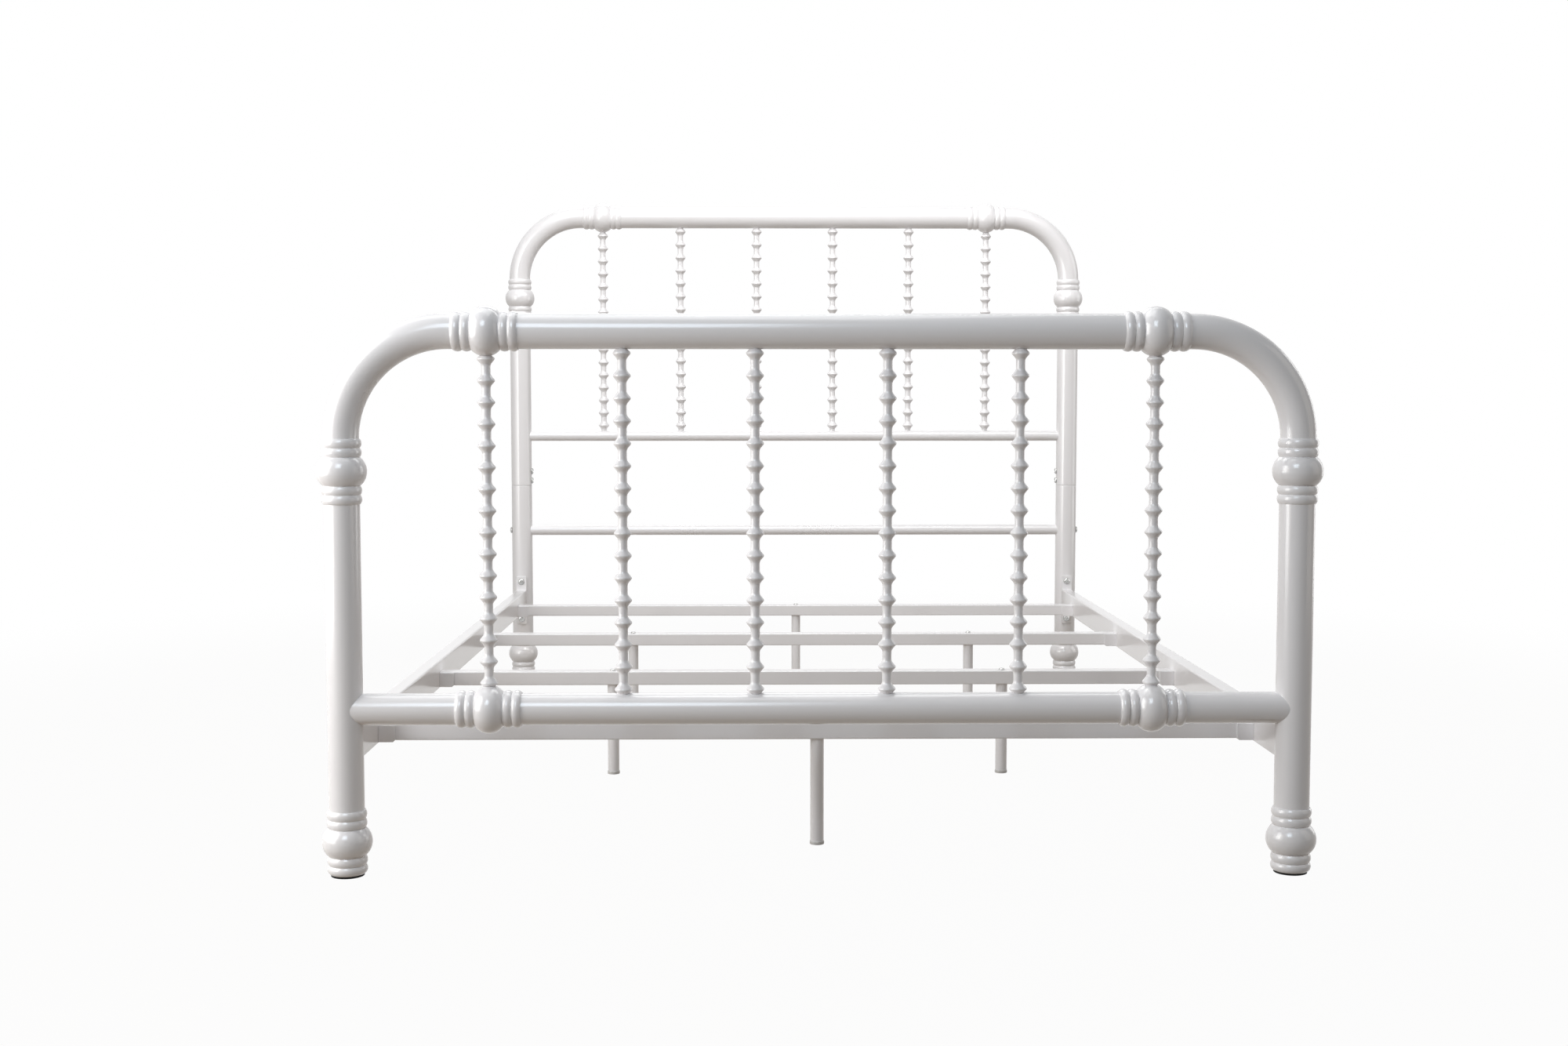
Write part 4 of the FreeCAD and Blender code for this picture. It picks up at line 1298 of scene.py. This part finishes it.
@dataclass
class Studio:
    """Camera, floor, backdrop and lamps, with places in metres and the camera's turns in degrees."""

    eye: Triple = (-0.0895, -3.5662, 0.6863)
    eye_turn: Triple = (86.127, 0.0, -0.796)
    lens: float = 41.44
    sensor: float = 36.0
    floor_reach: float = 40.0
    floor_z: float = -0.0005
    floor_tone: Triple = (0.25, 0.195, 0.14)
    floor_white: tuple[float, float] = (0.965, 1.0)
    floor_fade: tuple[float, float] = (1.4, 3.2)
    ambient: float = 0.05
    ambient_tint: Triple = (1.0, 0.90, 0.78)
    lamps: tuple[Softbox, ...] = (
        Softbox("key", (-0.80, -4.1, 2.97), (-0.1, -0.98, 0.48), 1.5, 1.7, 40.5, (0.76, 0.88, 1.0)),
        Softbox("left_front", (-2.6, -2.4, 1.2), (0.0, -1.6, 0.6), 1.4, 2.2, 16.5, (1.0, 0.96, 0.91)),
        Softbox("left_near", (-1.9, -1.5, 1.1), (0.0, -1.1, 0.7), 1.1, 1.9, 22.0),
        Softbox("left_middle", (-2.6, -0.8, 1.2), (0.0, -0.6, 0.6), 1.4, 2.2, 13.0),
        Softbox("over_foot", (-0.4, -1.25, 2.6), (-0.3, -0.98, 0.4), 1.6, 0.6, 1.5),
        Softbox("over_middle", (-0.5, -0.2, 2.8), (0.0, 0.9, 0.8), 2.1, 1.7, 21.0),
        Softbox("before_head", (0.3, 0.0, 2.0), (0.0, 0.98, 0.8), 1.4, 0.8, 12.6),
        Softbox("right_back", (2.6, 0.8, 1.0), (0.0, 0.8, 0.6), 1.2, 1.8, 11.5),
        Softbox("right_front", (2.6, -1.6, 1.2), (0.0, -1.0, 0.6), 1.4, 2.2, 6.0, (1.0, 0.93, 0.86)),
        Softbox("behind_head", (-0.5, 3.6, 3.4), (0.0, 0.98, 0.6), 2.0, 1.4, 30.0),
    )

    def camera(self) -> None:
        """Sets the camera at the photograph's viewing angle."""
        data = bpy.data.cameras.new("view")
        data.sensor_width = self.sensor
        data.lens = self.lens
        camera = bpy.data.objects.new("view", data)
        camera.location = self.eye
        camera.rotation_euler = [math.radians(turn) for turn in self.eye_turn]
        bpy.context.scene.collection.objects.link(camera)
        bpy.context.scene.camera = camera

    @staticmethod
    def seen_directly(tree: Tree) -> Node:
        """Tells what is looked at or mirrored from what only lights the bed.

        Args:
            tree: Node tree it is made in.

        Returns:
            Node whose Value is 1 for camera, glossy and transmission rays and 0 for the rest.
        """
        path = add_node(tree, "LightPath")
        mirrored, either = (add_node(tree, "Math", operation="MAXIMUM") for turn in range(2))
        wire(tree, (path, "Is Camera Ray", mirrored, 0), (path, "Is Glossy Ray", mirrored, 1),
             (mirrored, "Value", either, 0), (path, "Is Transmission Ray", either, 1))
        return either

    def floor(self) -> None:
        """Floor: nearly white to look at, and of the floor_tone to the light that it throws back.

        Between the two floor_fade distances from the bed's middle its share of plain white rises to 1,
        so the shadow shows near the bed and the floor meets the backdrop without a line.
        """
        corners = [(x * self.floor_reach, y * self.floor_reach, self.floor_z)
                   for x, y in ((-1, -1), (1, -1), (1, 1), (-1, 1))]
        mesh = bpy.data.meshes.new("floor")
        mesh.from_pydata(corners, [], [(0, 1, 2, 3)])
        material = bpy.data.materials.new("pale_floor")
        material.use_nodes = True
        tree = material.node_tree
        tree.nodes.clear()
        matt = add_node(tree, "BsdfDiffuse", {"Color": (*self.floor_tone, 1.0)})
        glow = add_node(tree, "Emission", {"Color": PLAIN_WHITE})
        place, length = add_node(tree, "TexCoord"), add_node(tree, "VectorMath", operation="LENGTH")
        fade = value_range(tree, *self.floor_fade)
        fade.inputs["To Min"].default_value, fade.inputs["To Max"].default_value = self.floor_white
        share = add_node(tree, "Math", operation="MULTIPLY")
        blend, out = add_node(tree, "MixShader"), add_node(tree, "OutputMaterial")
        wire(tree, (place, "Object", length, 0), (length, "Value", fade, "Value"),
             (self.seen_directly(tree), "Value", share, 0), (fade, "Result", share, 1),
             (share, "Value", blend, 0), (matt, "BSDF", blend, 1), (glow, "Emission", blend, 2),
             (blend, "Shader", out, "Surface"))
        mesh.materials.append(material)
        floor = bpy.data.objects.new("floor", mesh)
        bpy.context.scene.collection.objects.link(floor)

    def backdrop(self) -> None:
        """White world to look at and to mirror, which gives off only a weak light."""
        world = bpy.data.worlds.new("backdrop")
        world.use_nodes = True
        bpy.context.scene.world = world
        tree = world.node_tree
        tree.nodes.clear()
        soft = add_node(tree, "Background", {"Color": (*self.ambient_tint, 1.0), "Strength": self.ambient})
        white = add_node(tree, "Background", {"Color": PLAIN_WHITE})
        blend, out = add_node(tree, "MixShader"), add_node(tree, "OutputWorld")
        wire(tree, (self.seen_directly(tree), "Value", blend, 0), (soft, "Background", blend, 1),
             (white, "Background", blend, 2), (blend, "Shader", out, "Surface"))

    def build(self) -> None:
        """Sets up the camera, the floor, the backdrop and the lamps."""
        self.camera()
        self.floor()
        self.backdrop()
        for lamp in self.lamps:
            lamp.make()
        bpy.context.scene.view_settings.view_transform = "Standard"


def main() -> None:
    """Builds the bed and the studio."""
    logging.basicConfig(level=logging.INFO, format="%(message)s")
    layout = Layout()
    palette = Palette.make()
    Footboard(layout, palette).build()
    Headboard(layout, palette).build()
    Deck(layout, palette).build()
    Hardware(layout, palette).build()
    Studio().build()


if __name__ == "__main__":
    main()
